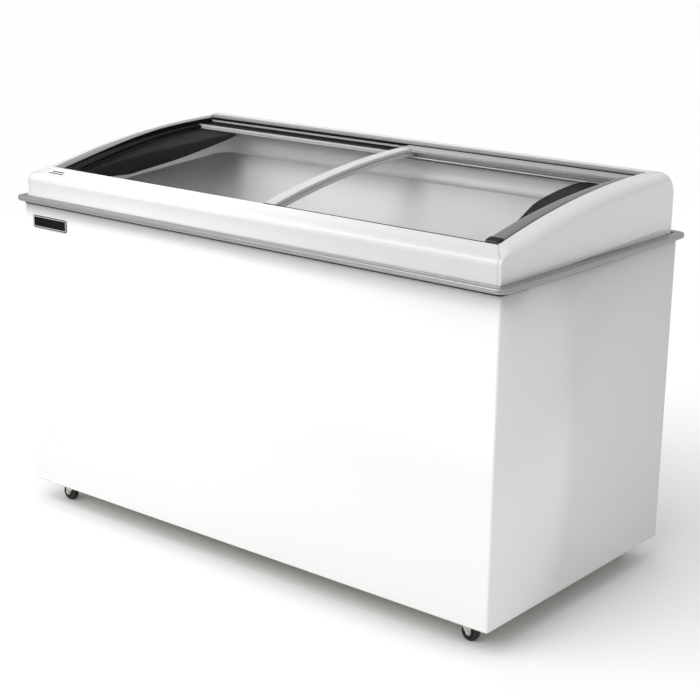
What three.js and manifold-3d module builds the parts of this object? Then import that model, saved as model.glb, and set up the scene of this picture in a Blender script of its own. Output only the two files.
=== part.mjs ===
// Chest freezer with two curved glass lids that slide over each other.
// Millimetres, +Z up, front towards -Y, origin on the floor under the middle of the freezer.
import * as THREE from 'three';
import { mergeVertices } from 'three/addons/utils/BufferGeometryUtils.js';
import Module from 'manifold-3d';

// ---------------------------------------------------------------- driving sizes
// Cabinet
const bodyWidth = 1270;
const bodyDepth = 638;
const bodyTop = 704;
const sheetThickness = 1;
const sheetBend = 5;
const wallThickness = 70;
const floorInsulation = 60;
const fitGap = 0.3;

// Tank
const linerThickness = 1;
const tankCornerRadius = 35;
const rimRiseFront = 13;
const rimRiseRear = 51;
const upstandThickness = 18;
const collarThickness = 2.5;
const collarRiseFront = 40;
const collarRiseRear = 104;

// Compressor compartment at the left end, under a step in the tank
const compartmentWidth = 238;
const compartmentHeight = 306;
const stepWall = 70;

// Top frame
const frameInset = 4;
const frameWall = 3;
const endCapWidth = 39;
const frontSillDepth = 47;
const rearSillDepth = 79;
const crownRise = 138;
const crownFall = 64.5;
const crownSetback = 62;
const rearCornerRadius = 45;
const frameCornerRadius = 8;
const capEdgeRadius = 20;
const seamGap = 0.4;
const solidEnd = 14;

// Sliding lids
const glassThickness = 4;
const lidRailThickness = 8;
const upperLidDrop = 5.2;
const lidDropStep = 9.4;
const rightLidLength = 565;
const lidOverlap = 28;
const lidEndGap = 8;
const lidBarWidth = 28;
const lidGripWidth = 30;
const lidRearRailDepth = 36;
const lidFrontRunnerDepth = 7;
const upperLidFrontGap = 6;
const upperLidRearGap = 10;
const lowerLidFrontGap = 18;
const lowerLidRearGap = 24;
const glassBite = 9;

// Tracks
const trackWall = 2;
const ledgeThickness = 2.4;
const runnerClearance = 0.4;
const rearTrackDrop = 5.5;

// Black trims under the ends of the lids
const trimPlate = 3;
const trimReach = 117;
const trimTopDrop = 26;
const trimBottomDrop = 62;
const trimFootBend = 0.3;
const trimFrontEnd = 12;
const trimRearSkirt = 2;
const badgeWidth = 108;
const badgeHeight = 27;
const badgeFromSide = 28;
const badgeFromTop = 56;
const badgeCorner = 4;
const badgeThickness = 2;
const trimWall = 3;

// Bumper rail
const railProtrusion = 17.5;
const railHeight = 10.7;
const railCornerRadius = 24;
const railSkirtHeight = 6;
const railSkirtThickness = 1.4;

// Castors
const wheelRadius = 19;
const wheelWidth = 15;
const axleRadius = 3;
const castorInsetX = 80;
const castorInsetY = 47;
const castorHeadroom = 12;
const castorTrail = 12;
const castorPlateSize = 46;
const castorPlateThickness = 2.5;
const forkWall = 2.5;
const kingpinRadius = 4;

// Refrigeration
const compressorRadius = 68;
const compressorHeight = 165;
const fanRadius = 60;
const tubeRadius = 4;
const capillaryRadius = 1.6;

// ---------------------------------------------------------------- derived places
const halfWidth = bodyWidth / 2;
const halfDepth = bodyDepth / 2;
const floorClearance = 2 * wheelRadius + castorHeadroom;
const swivelX = halfWidth - castorInsetX;
const swivelY = halfDepth - castorInsetY;
const frameX = halfWidth - frameInset;
const frameY = halfDepth - frameInset;
const frameFoot = bodyTop + fitGap;
const openingX = frameX - endCapWidth;
const openingFront = -frameY + frontSillDepth;
const openingRear = frameY - rearSillDepth;
const crownY = halfDepth - crownSetback;
const crownZ = bodyTop + crownRise;
const crownReach = crownY - openingFront;
const crownRadius = (crownReach * crownReach + crownFall * crownFall) / (2 * crownFall);
const rimFront = bodyTop + rimRiseFront;
const rimRear = bodyTop + rimRiseRear;
const collarTopFront = bodyTop + collarRiseFront;
const collarTopRear = bodyTop + collarRiseRear;
const tankX = halfWidth - wallThickness;
const tankY = halfDepth - wallThickness;
const tankFloor = floorClearance + sheetThickness + floorInsulation;
const compartmentEdge = -halfWidth + compartmentWidth;
const compartmentTop = floorClearance + compartmentHeight;
const stepX = compartmentEdge + stepWall;
const stepFloor = compartmentTop + floorInsulation;
const lidEnd = openingX - lidEndGap;
const lidBarLeft = lidEnd - rightLidLength;
const leftLidEnd = lidBarLeft + lidOverlap;
const lowerLidDrop = upperLidDrop + lidDropStep;
const upperLidFront = openingFront + upperLidFrontGap;
const upperLidRear = openingRear - upperLidRearGap;
const lowerLidFront = openingFront + lowerLidFrontGap;
const lowerLidRear = openingRear - lowerLidRearGap;
const mitreOver = 1;
const frontMitre = frontSillDepth / endCapWidth;
const rearMitre = rearSillDepth / endCapWidth;

const toYZ = new THREE.Matrix4().makeBasis(
  new THREE.Vector3(0, 1, 0),
  new THREE.Vector3(0, 0, 1),
  new THREE.Vector3(1, 0, 0),
);
const toXZ = new THREE.Matrix4().makeBasis(
  new THREE.Vector3(1, 0, 0),
  new THREE.Vector3(0, 0, 1),
  new THREE.Vector3(0, -1, 0),
);

const wasm = await Module();
wasm.setup();

const freezer = new THREE.Group();

// ---------------------------------------------------------------- finishes
function finish(color, roughness, metalness) {
  return { color, roughness, metalness };
}
const finishes = {
  whiteSheet: finish(0xf4f4f3, 0.35, 0.1),
  whitePlastic: finish(0xededec, 0.25, 0),
  greyPlastic: finish(0xc9cac9, 0.4, 0),
  darkPlastic: finish(0x6f7172, 0.45, 0),
  blackPlastic: finish(0x171717, 0.5, 0),
  aluminium: finish(0xa9abac, 0.35, 1),
  linerSheet: finish(0xb4b6b7, 0.45, 0.4),
  glass: finish(0xd7e2e0, 0.05, 0),
  zinc: finish(0x9c9fa1, 0.4, 1),
  rubber: finish(0x1b1b1b, 0.8, 0),
  blackSteel: finish(0x202123, 0.5, 0.6),
  copper: finish(0xb0683f, 0.35, 1),
  foam: finish(0xe6d9a8, 0.9, 0),
  drainPlastic: finish(0xdadada, 0.5, 0),
};

// ---------------------------------------------------------------- solids and shapes
function toSolid(geometry) {
  const loose = geometry.index ? geometry.toNonIndexed() : geometry;
  const bare = new THREE.BufferGeometry();
  bare.setAttribute('position', loose.getAttribute('position'));
  const merged = mergeVertices(bare, 1e-4);
  return new wasm.Manifold(
    new wasm.Mesh({
      numProp: 3,
      vertProperties: merged.attributes.position.array,
      triVerts: new Uint32Array(merged.index.array),
    }),
  );
}

function toGeometry(solid) {
  const mesh = solid.getMesh();
  const geometry = new THREE.BufferGeometry();
  geometry.setAttribute('position', new THREE.BufferAttribute(mesh.vertProperties, 3));
  geometry.setIndex(new THREE.BufferAttribute(mesh.triVerts, 1));
  geometry.computeVertexNormals();
  return geometry;
}

function addPart(name, solid, look) {
  const mesh = new THREE.Mesh(toGeometry(solid), new THREE.MeshStandardMaterial(look));
  mesh.name = name;
  freezer.add(mesh);
}

function polygon(points) {
  return new THREE.Shape(points.map(([x, y]) => new THREE.Vector2(x, y)));
}

function rectangle(x0, y0, x1, y1) {
  return polygon([[x0, y0], [x1, y0], [x1, y1], [x0, y1]]);
}

// A rectangle centred on the origin with round corners.
function roundedPlan(halfX, halfY, radius) {
  const shape = new THREE.Shape();
  shape.moveTo(-halfX + radius, -halfY);
  shape.absarc(halfX - radius, -halfY + radius, radius, -Math.PI / 2, 0, false);
  shape.absarc(halfX - radius, halfY - radius, radius, 0, Math.PI / 2, false);
  shape.absarc(-halfX + radius, halfY - radius, radius, Math.PI / 2, Math.PI, false);
  shape.absarc(-halfX + radius, -halfY + radius, radius, Math.PI, 1.5 * Math.PI, false);
  return shape;
}

function extrude(shape, length, curveSegments) {
  return new THREE.ExtrudeGeometry(shape, { depth: length, bevelEnabled: false, curveSegments });
}

// A shape drawn in (y, z), carried from x0 to x1.
function alongX(shape, x0, x1, curveSegments = 4) {
  return toSolid(extrude(shape, x1 - x0, curveSegments).applyMatrix4(toYZ).translate(x0, 0, 0));
}

// A shape drawn in (x, z), carried from y0 to y1.
function alongY(shape, y0, y1, curveSegments = 4) {
  return toSolid(extrude(shape, y1 - y0, curveSegments).applyMatrix4(toXZ).translate(0, y1, 0));
}

// A shape drawn in (x, y), carried from z0 to z1.
function alongZ(shape, z0, z1, curveSegments = 4) {
  return toSolid(extrude(shape, z1 - z0, curveSegments).translate(0, 0, z0));
}

function block(x0, x1, y0, y1, z0, z1) {
  const geometry = new THREE.BoxGeometry(x1 - x0, y1 - y0, z1 - z0);
  return toSolid(geometry.translate((x0 + x1) / 2, (y0 + y1) / 2, (z0 + z1) / 2));
}

// A turned piece: profile of (radius, height), standing on (x, y, z) or laid along an axis.
function turned(profile, segments, axis, x, y, z) {
  const points = profile.map(([radius, height]) => new THREE.Vector2(radius, height));
  if (THREE.ShapeUtils.area(points) < 0) points.reverse();
  const geometry = new THREE.LatheGeometry(points, segments);
  if (axis === 'z') geometry.rotateX(Math.PI / 2);
  if (axis === 'x') geometry.rotateZ(-Math.PI / 2);
  return toSolid(geometry.translate(x, y, z));
}

function cylinder(radius, low, high, segments, axis, x, y, z) {
  return turned([[0, low], [radius, low], [radius, high], [0, high]], segments, axis, x, y, z);
}

// A strip of even thickness laid on the right-hand side of an open path.
function ribbon(path, thickness) {
  const points = path.map(([x, y]) => new THREE.Vector2(x, y));
  const last = points.length - 1;
  const rightOf = (a, b) => {
    const along = b.clone().sub(a).normalize();
    return new THREE.Vector2(along.y, -along.x);
  };
  const inner = points.map((point, i) => {
    const next = i < last ? rightOf(point, points[i + 1]) : rightOf(points[i - 1], point);
    const before = i > 0 ? rightOf(points[i - 1], point) : next;
    const mitre = before.clone().add(next).normalize();
    return point.clone().add(mitre.multiplyScalar(thickness / mitre.dot(next)));
  });
  return new THREE.Shape([...points, ...inner.reverse()]);
}

// ---------------------------------------------------------------- the crown curve
// Height of the curve that lies a given drop below the crown.
function crownHeight(y, drop = 0) {
  const radius = crownRadius - drop;
  return crownZ - crownRadius + Math.sqrt(radius * radius - (y - crownY) ** 2);
}

function crownPoints(yFrom, yTo, drop, count) {
  return Array.from({ length: count + 1 }, (_, i) => {
    const y = yFrom + ((yTo - yFrom) * i) / count;
    return [y, crownHeight(y, drop)];
  });
}

// The strip between two drops below the crown, from one y to another.
function crownBand(yFrom, yTo, dropTop, dropBottom, count = 12) {
  const top = crownPoints(yFrom, yTo, dropTop, count);
  const bottom = crownPoints(yFrom, yTo, dropBottom, count);
  return polygon([...top, ...bottom.reverse()].reverse());
}

// ---------------------------------------------------------------- cabinet
function rimHeight(y) {
  return rimFront + ((rimRear - rimFront) * (y + tankY)) / (2 * tankY);
}

function collarTop(y) {
  return collarTopFront + ((collarTopRear - collarTopFront) * (y + tankY)) / (2 * tankY);
}

// Everything above a plane that slopes from front to rear.
function aboveSlope(heightAt, lift) {
  const reach = bodyDepth;
  const high = 2 * bodyTop;
  return alongX(
    polygon([
      [-reach, heightAt(-reach) + lift],
      [reach, heightAt(reach) + lift],
      [reach, high],
      [-reach, high],
    ]),
    -bodyWidth,
    bodyWidth,
  );
}

// The space of the tank, grown on every side: an L over the compartment, with round corners.
function tankSpace(grow) {
  const side = polygon([
    [stepX - grow, tankFloor - grow],
    [tankX + grow, tankFloor - grow],
    [tankX + grow, crownZ],
    [-tankX - grow, crownZ],
    [-tankX - grow, stepFloor - grow],
    [stepX - grow, stepFloor - grow],
  ]);
  const plan = roundedPlan(tankX + grow, tankY + grow, tankCornerRadius + grow);
  return alongY(side, -tankY - grow, tankY + grow).intersect(
    alongZ(plan, floorClearance, crownZ + grow, 5),
  );
}

function compartmentSpace(grow) {
  return block(
    -halfWidth - grow,
    compartmentEdge + grow,
    -halfDepth,
    halfDepth,
    floorClearance - grow,
    compartmentTop + grow,
  );
}

// Grilles: the opening behind each, and the slats that close it.
const grilleLow = floorClearance + 46;
const grilleHigh = compartmentTop - 60;
const sideGrille = {
  from: -halfDepth + 49,
  to: -halfDepth + 259,
  low: grilleLow,
  high: grilleHigh,
  slats: 9,
};
const rearGrille = {
  from: -halfWidth + 29,
  to: compartmentEdge - 49,
  low: grilleLow,
  high: grilleHigh,
  slats: 9,
};
const grilleRim = 12;
const grilleThickness = 4;
const slatTilt = 5;

function grillePanel(frame, along, plane, outward) {
  const { from, to, low, high, slats } = frame;
  const outer = rectangle(from - grilleRim, low - grilleRim, to + grilleRim, high + grilleRim);
  const near = Math.min(plane, plane + outward * grilleThickness);
  let panel = along(outer, near, near + grilleThickness);
  const pitch = (high - low) / slats;
  for (let i = 0; i < slats; i += 1) {
    const slotLow = low + pitch * i + pitch * 0.32;
    const slot = rectangle(from, slotLow, to, low + pitch * (i + 1));
    panel = panel.subtract(along(slot, near - slatTilt, near + grilleThickness + slatTilt));
  }
  return panel;
}

const drain = {
  x: tankX - 135,
  y: 0,
  bore: 8,
  wall: 2,
  flange: 18,
  outletZ: floorClearance - 9,
};
const inlet = { x: compartmentEdge - 21, z: floorClearance + 80, radius: 9 };
const knob = { y: -20, z: compartmentTop - 26, radius: 17, height: 14, bevel: 3, boreDepth: 11 };
const spindleRadius = 3;

function outerWrap() {
  const outer = roundedPlan(halfWidth, halfDepth, sheetBend);
  const inner = roundedPlan(
    halfWidth - sheetThickness,
    halfDepth - sheetThickness,
    sheetBend - sheetThickness,
  );
  const openBack = block(
    -bodyWidth,
    bodyWidth,
    halfDepth - sheetThickness - fitGap,
    bodyDepth,
    0,
    bodyTop + sheetBend,
  );
  const { from, to, low, high } = sideGrille;
  const sideHole = block(-halfWidth - sheetBend, -halfWidth + sheetBend, from, to, low, high);
  const spindleHole = cylinder(5, -sheetBend, sheetBend, 16, 'x', -halfWidth, knob.y, knob.z);
  return alongZ(outer, floorClearance, bodyTop, 3)
    .subtract(alongZ(inner, 0, bodyTop + sheetBend, 3))
    .subtract(openBack)
    .subtract(sideHole)
    .subtract(spindleHole);
}

function rearPanel() {
  const edge = halfWidth - sheetThickness - fitGap;
  const inner = halfDepth - sheetThickness;
  const panel = block(-edge, edge, inner, halfDepth, floorClearance, bodyTop);
  const { from, to, low, high } = rearGrille;
  const hole = block(from, to, halfDepth - sheetBend, halfDepth + sheetBend, low, high);
  const gland = cylinder(
    inlet.radius + fitGap, -sheetBend, sheetBend, 20, 'y', inlet.x, halfDepth, inlet.z,
  );
  const outline = alongZ(roundedPlan(halfWidth, halfDepth, sheetBend), 0, bodyTop, 3);
  return panel.intersect(outline).subtract(hole).subtract(gland);
}

function basePan() {
  const inset = sheetThickness + fitGap;
  const plan = roundedPlan(halfWidth - inset, halfDepth - inset, sheetBend);
  const z0 = floorClearance;
  let pan = alongZ(plan, z0, z0 + sheetThickness, 3);
  const tubeHole = drain.bore + drain.wall + fitGap;
  pan = pan.subtract(cylinder(tubeHole, -sheetBend, sheetBend, 20, 'z', drain.x, drain.y, z0));
  const slots = 6;
  const slotPitch = 26;
  for (let i = 0; i < slots; i += 1) {
    const x = -halfWidth + 60 + slotPitch * i;
    pan = pan.subtract(block(x, x + 12, -180, -40, z0 - 5, z0 + 5));
  }
  return pan;
}

// Evaporator tube: flat loops round the tank above the step, in a pocket of the insulation.
const evaporatorLoops = 5;
const evaporatorLow = stepFloor + 24;
const evaporatorPitch = 44;
const evaporatorTop = evaporatorLow + evaporatorLoops * evaporatorPitch;
const tubeStandOff = linerThickness + fitGap + 0.8;
const pocketDepth = tubeStandOff + 2 * tubeRadius + 2 * fitGap;
const pocketMargin = 14;
const chaseX = compartmentEdge - 45;
const chaseY = tankY + linerThickness + fitGap + tubeRadius + 1;

function evaporatorPocket() {
  const band = block(
    -halfWidth,
    halfWidth,
    -halfDepth,
    halfDepth,
    evaporatorLow - pocketMargin,
    evaporatorTop + pocketMargin,
  );
  const chase = block(
    chaseX - 16,
    chaseX + 16,
    tankY + linerThickness,
    tankY + pocketDepth + 6,
    compartmentTop - 20,
    evaporatorLow,
  );
  return tankSpace(pocketDepth).intersect(band).add(chase);
}

function foam() {
  const inset = sheetThickness + fitGap;
  const low = floorClearance + sheetThickness + fitGap;
  const plan = roundedPlan(halfWidth - inset, halfDepth - inset, sheetBend);
  const grow = upstandThickness + linerThickness;
  const upstandX = Math.min(tankX + grow, openingX - fitGap);
  const upstand = roundedPlan(upstandX, tankY + grow, tankCornerRadius + grow);
  return alongZ(plan, low, bodyTop - fitGap, 3)
    .add(alongZ(upstand, low, crownZ, 5))
    .subtract(aboveSlope(rimHeight, 0))
    .subtract(tankSpace(linerThickness + fitGap))
    .subtract(compartmentSpace(0))
    .subtract(evaporatorPocket())
    .subtract(
      cylinder(drain.bore + drain.wall + fitGap, 0, tankFloor, 20, 'z', drain.x, drain.y, 0),
    );
}

// The foam is in two pieces: the slab under the tank, and the walls with the step.
const foamSeam = tankFloor - linerThickness - fitGap;

function floorInsulationSlab() {
  return foam().intersect(block(-bodyWidth, bodyWidth, -bodyDepth, bodyDepth, 0, foamSeam));
}

function wallInsulation() {
  const below = block(-bodyWidth, bodyWidth, -bodyDepth, bodyDepth, 0, foamSeam + fitGap);
  return foam().subtract(below);
}

function innerLiner() {
  const hole = cylinder(
    drain.bore + drain.wall + fitGap, -sheetBend, sheetBend, 20, 'z', drain.x, drain.y, tankFloor,
  );
  return tankSpace(linerThickness)
    .subtract(tankSpace(0))
    .subtract(aboveSlope(rimHeight, 0))
    .subtract(hole);
}

function linerCollar() {
  const outer = roundedPlan(
    tankX + collarThickness,
    tankY + collarThickness,
    tankCornerRadius + collarThickness,
  );
  const inner = roundedPlan(tankX, tankY, tankCornerRadius);
  const belowRim = alongZ(roundedPlan(halfWidth, halfDepth, sheetBend), 0, crownZ * 2).subtract(
    aboveSlope(rimHeight, fitGap),
  );
  return alongZ(outer, rimFront, crownZ, 6)
    .subtract(alongZ(inner, 0, crownZ * 2, 6))
    .subtract(aboveSlope(collarTop, 0))
    .subtract(belowRim)
    .subtract(trimSpace(1, fitGap))
    .subtract(trimSpace(-1, fitGap));
}

// ---------------------------------------------------------------- top frame
// Front of the frame, from its foot up to the lip of the opening, as (y, z).
function frontFacePath(inset) {
  const y = -frameY + inset;
  const lipZ = crownHeight(openingFront, inset);
  return [
    [y, frameFoot],
    [y, bodyTop + 12],
    [y + 1.8, bodyTop + 20],
    [y + 2.6, bodyTop + 30],
    [y + 1.6, bodyTop + 40],
    [y + 0.6, bodyTop + 47],
    [y + 2.4, bodyTop + 54 - inset],
    [y + 8, bodyTop + 58.5 - inset],
    [y + 16, bodyTop + 61.5 - inset],
    [y + 27, bodyTop + 65 - inset],
    [y + 38 - inset, lipZ - 3.6],
    [openingFront - inset * 0.5, lipZ - 0.6],
  ];
}

// Rear of the frame, from the lip of the opening over the round corner to the foot.
function rearFacePath(inset, firstY) {
  const centreY = frameY - rearCornerRadius;
  const centreZ = crownZ - rearCornerRadius;
  const radius = rearCornerRadius - inset;
  const steps = 7;
  const corner = Array.from({ length: steps + 1 }, (_, i) => {
    const angle = Math.PI / 2 - (Math.PI / 2) * (i / steps);
    return [centreY + radius * Math.cos(angle), centreZ + radius * Math.sin(angle)];
  });
  return [[firstY, crownHeight(firstY, inset)], ...corner, [frameY - inset, frameFoot]];
}

function sideOutline(inset) {
  const front = frontFacePath(inset);
  const crown = crownPoints(openingFront + 8, openingRear - 8, inset, 14);
  const rear = rearFacePath(inset, openingRear);
  return polygon([...front, ...crown, ...rear].reverse());
}

// Plan of an end cap: mitred to both sills at the corners of the opening.
function capPlan(side, shrink) {
  return [
    [side * openingX, openingFront + shrink],
    [side * (frameX + mitreOver), -frameY - mitreOver * frontMitre + shrink],
    [side * (frameX + mitreOver), frameY + mitreOver * rearMitre - shrink],
    [side * openingX, openingRear - shrink],
  ];
}

function wound(points, side) {
  return polygon(side > 0 ? points : [...points].reverse());
}

// Rounds an outer top edge of the frame: what lies outside a quarter circle, swept over the top.
function edgeRounding(side) {
  const overhang = 6;
  const centreY = frameY - rearCornerRadius;
  const centreZ = crownZ - rearCornerRadius;
  const crown = crownPoints(openingFront - frontSillDepth - 2 * overhang, centreY, 0, 14);
  const steps = 6;
  const corner = Array.from({ length: steps }, (_, i) => {
    const angle = Math.PI / 2 - (Math.PI / 2) * ((i + 1) / steps);
    return [
      centreY + rearCornerRadius * Math.cos(angle),
      centreZ + rearCornerRadius * Math.sin(angle),
    ];
  });
  const path = [...crown, ...corner, [frameY, frameFoot - overhang]];
  const slabs = path.slice(1).map((point, i) => sweptSlab(side, path[i], point, overhang));
  return slabs.reduce((all, slab) => all.add(slab));
}

// One straight stretch of the rounding cutter, between two points of its path.
function sweptSlab(side, [y0, z0], [y1, z1], overhang) {
  const r = capEdgeRadius;
  const length = Math.hypot(y1 - y0, z1 - z0);
  const angle = Math.atan2(z1 - z0, y1 - y0);
  const section = new THREE.Shape();
  section.moveTo(-r, 0);
  section.absarc(-r, -r, r, Math.PI / 2, 0, true);
  section.lineTo(overhang, -r);
  section.lineTo(overhang, overhang);
  section.lineTo(-r, overhang);
  const lap = 0.4;
  const geometry = new THREE.ExtrudeGeometry(section, {
    depth: length + 2 * lap,
    bevelEnabled: false,
    curveSegments: 4,
  });
  geometry.translate(0, 0, -lap);
  const onPath = new THREE.Matrix4().makeBasis(
    new THREE.Vector3(-1, 0, 0),
    new THREE.Vector3(0, -Math.sin(angle), Math.cos(angle)),
    new THREE.Vector3(0, Math.cos(angle), Math.sin(angle)),
  );
  geometry.applyMatrix4(onPath).translate(-frameX, y0, z0);
  const slab = toSolid(geometry);
  return side < 0 ? slab : slab.mirror([1, 0, 0]);
}

function endCap(side) {
  const x = (a, b) => [Math.min(side * a, side * b), Math.max(side * a, side * b)];
  const whole = alongX(sideOutline(0), ...x(openingX, frameX));
  const inner = x(openingX + frameWall, frameX - solidEnd);
  const outer = x(openingX + frameWall, frameX - frameWall);
  const hollowInner = alongX(sideOutline(frameWall), ...inner);
  const hollowOuter = alongX(sideOutline(solidEnd), ...outer);
  const openFoot = block(
    ...outer, -frameY + 2 * solidEnd, frameY - 2 * solidEnd,
    frameFoot - capEdgeRadius, frameFoot + capEdgeRadius,
  );
  return whole
    .subtract(edgeRounding(side))
    .subtract(hollowInner)
    .subtract(hollowOuter)
    .subtract(openFoot)
    .intersect(alongZ(wound(capPlan(side, seamGap), side), 0, crownZ * 2))
    .intersect(framePlan());
}

function framePlan() {
  return alongZ(roundedPlan(frameX, frameY, frameCornerRadius), 0, crownZ * 2, 4);
}

// Closes the ends of a sill, cuts its mitres and rounds its outer corners like the end caps.
function finishSill(strip, plan) {
  const rightEnd = alongX(sideOutline(0), frameX - solidEnd, frameX);
  const leftEnd = alongX(sideOutline(0), -frameX, -frameX + solidEnd);
  return strip
    .add(rightEnd)
    .add(leftEnd)
    .intersect(alongZ(plan, 0, crownZ * 2))
    .intersect(framePlan())
    .subtract(edgeRounding(1))
    .subtract(edgeRounding(-1));
}

function frontSill() {
  const plan = polygon([
    [-frameX - mitreOver, -frameY - mitreOver * frontMitre],
    [frameX + mitreOver, -frameY - mitreOver * frontMitre],
    [openingX, openingFront],
    [openingX, openingFront + frameWall],
    [-openingX, openingFront + frameWall],
    [-openingX, openingFront],
  ]);
  const lipDown = [openingFront, bodyTop + 52];
  const path = [...frontFacePath(0), lipDown];
  return finishSill(alongX(ribbon(path, frameWall), -frameX, frameX), plan);
}

function rearSill() {
  const plan = polygon([
    [-openingX, openingRear - 1],
    [openingX, openingRear - 1],
    [openingX, openingRear],
    [frameX + mitreOver, frameY + mitreOver * rearMitre],
    [-frameX - mitreOver, frameY + mitreOver * rearMitre],
    [-openingX, openingRear],
  ]);
  const path = [[openingRear, collarTopRear + 14], ...rearFacePath(0, openingRear)];
  return finishSill(alongX(ribbon(path, frameWall), -frameX, frameX), plan);
}

function bumperRail() {
  const outer = roundedPlan(
    halfWidth + railProtrusion, halfDepth + railProtrusion, railCornerRadius,
  );
  const hug = frameInset - fitGap;
  const inner = roundedPlan(halfWidth - hug, halfDepth - hug, sheetBend);
  const skirtOuter = roundedPlan(
    halfWidth + fitGap + railSkirtThickness, halfDepth + fitGap + railSkirtThickness,
    sheetBend + railSkirtThickness,
  );
  const skirtInner = roundedPlan(halfWidth + fitGap, halfDepth + fitGap, sheetBend);
  const skirt = alongZ(skirtOuter, bodyTop - railSkirtHeight, frameFoot + 1, 3).subtract(
    alongZ(skirtInner, 0, crownZ, 3),
  );
  return alongZ(outer, frameFoot, frameFoot + railHeight, 6)
    .subtract(alongZ(inner, 0, crownZ, 3))
    .add(skirt);
}

// ---------------------------------------------------------------- tracks
const upperLedgeFront = crownHeight(upperLidFront, upperLidDrop + lidRailThickness) - 3;
const lowerLedgeFront = crownHeight(lowerLidFront, lowerLidDrop + lidRailThickness) - 3;
const upperLedgeRear = crownHeight(upperLidRear, upperLidDrop + lidRailThickness) - 3;
const lowerLedgeRear = crownHeight(lowerLidRear, lowerLidDrop + lidRailThickness) - 3;
const trackEnd = openingX - trimPlate - 2 * fitGap;

function frontTrack() {
  const webY = openingFront + frameWall + fitGap;
  const foot = lowerLedgeFront - ledgeThickness;
  const web = rectangle(webY, foot, webY + trackWall, upperLedgeFront);
  const upper = rectangle(
    webY, upperLedgeFront - ledgeThickness, upperLidFront + lidFrontRunnerDepth, upperLedgeFront,
  );
  const lower = rectangle(
    webY, lowerLedgeFront - ledgeThickness, lowerLidFront + lidFrontRunnerDepth, lowerLedgeFront,
  );
  return [web, upper, lower]
    .map((shape) => alongX(shape, -trackEnd, trackEnd))
    .reduce((all, piece) => all.add(piece));
}

function rearTrack() {
  const webY = openingRear - fitGap;
  const top = crownHeight(openingRear, rearTrackDrop);
  const web = rectangle(webY - trackWall, lowerLedgeRear - ledgeThickness, webY, top);
  const upper = rectangle(
    upperLidRear - lidFrontRunnerDepth, upperLedgeRear - ledgeThickness, webY, upperLedgeRear,
  );
  const lower = rectangle(
    lowerLidRear - lidFrontRunnerDepth, lowerLedgeRear - ledgeThickness, webY, lowerLedgeRear,
  );
  return [web, upper, lower]
    .map((shape) => alongX(shape, -trackEnd, trackEnd))
    .reduce((all, piece) => all.add(piece));
}

// ---------------------------------------------------------------- black end trims
// The edge of a trim in plan, from front to rear: shares of its length and of its reach inwards.
const trimOutline = [
  [0, 0.17],
  [0.04, 0.29],
  [0.1, 0.385],
  [0.19, 0.5],
  [0.28, 0.57],
  [0.36, 0.65],
  [0.45, 0.75],
  [0.53, 0.84],
  [0.61, 0.9],
  [0.7, 0.94],
  [0.81, 0.98],
  [0.92, 1],
  [0.97, 0.98],
  [1, 0.92],
];
const trimFrom = lowerLidFront + lidFrontRunnerDepth + 2;
const trimTo = lowerLidRear - lidFrontRunnerDepth - 2;

function trimPlan(side, grow) {
  const from = trimFrom - grow;
  const to = trimTo + grow;
  const edge = trimOutline.map(([along, share]) => [
    side * (openingX - trimPlate - trimReach * share - grow),
    from + (to - from) * along,
  ]);
  const base = side * (openingX - fitGap);
  return wound([[base, from], ...edge, [base, to]], -side);
}

// Shelf and skirt of a trim from the side. The foot is level in front, then rises to the shelf.
function trimSpace(side, grow) {
  const bendY = trimFrom + (trimTo - trimFrom) * trimFootBend;
  const bendZ = crownHeight(bendY, trimBottomDrop);
  const rearZ = crownHeight(trimTo, trimTopDrop + trimWall + trimRearSkirt);
  const front = openingFront + trimFrontEnd;
  const top = crownPoints(front, trimTo + 1, trimTopDrop - grow, 12);
  const foot = [
    [front, bendZ - grow],
    [bendY, bendZ - grow],
    [trimTo + 1, rearZ - grow],
  ];
  const band = polygon([...foot, ...top.reverse()]);
  return alongZ(trimPlan(side, grow), 0, crownZ).intersect(alongX(band, -halfWidth, halfWidth));
}

function endTrim(side) {
  const x = (a, b) => [Math.min(side * a, side * b), Math.max(side * a, side * b)];
  const plate = alongX(
    crownBand(openingFront + trimFrontEnd, openingRear - 4, upperLidDrop + 1, trimBottomDrop),
    ...x(openingX - trimPlate, openingX - fitGap),
  );
  const hollow = alongZ(trimPlan(side, -trimWall), 0, crownZ).intersect(
    alongX(
      crownBand(openingFront, openingRear, trimTopDrop + trimWall, 2 * trimBottomDrop),
      ...x(0, openingX - trimPlate),
    ),
  );
  return trimSpace(side, 0).add(plate).subtract(hollow);
}

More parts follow.
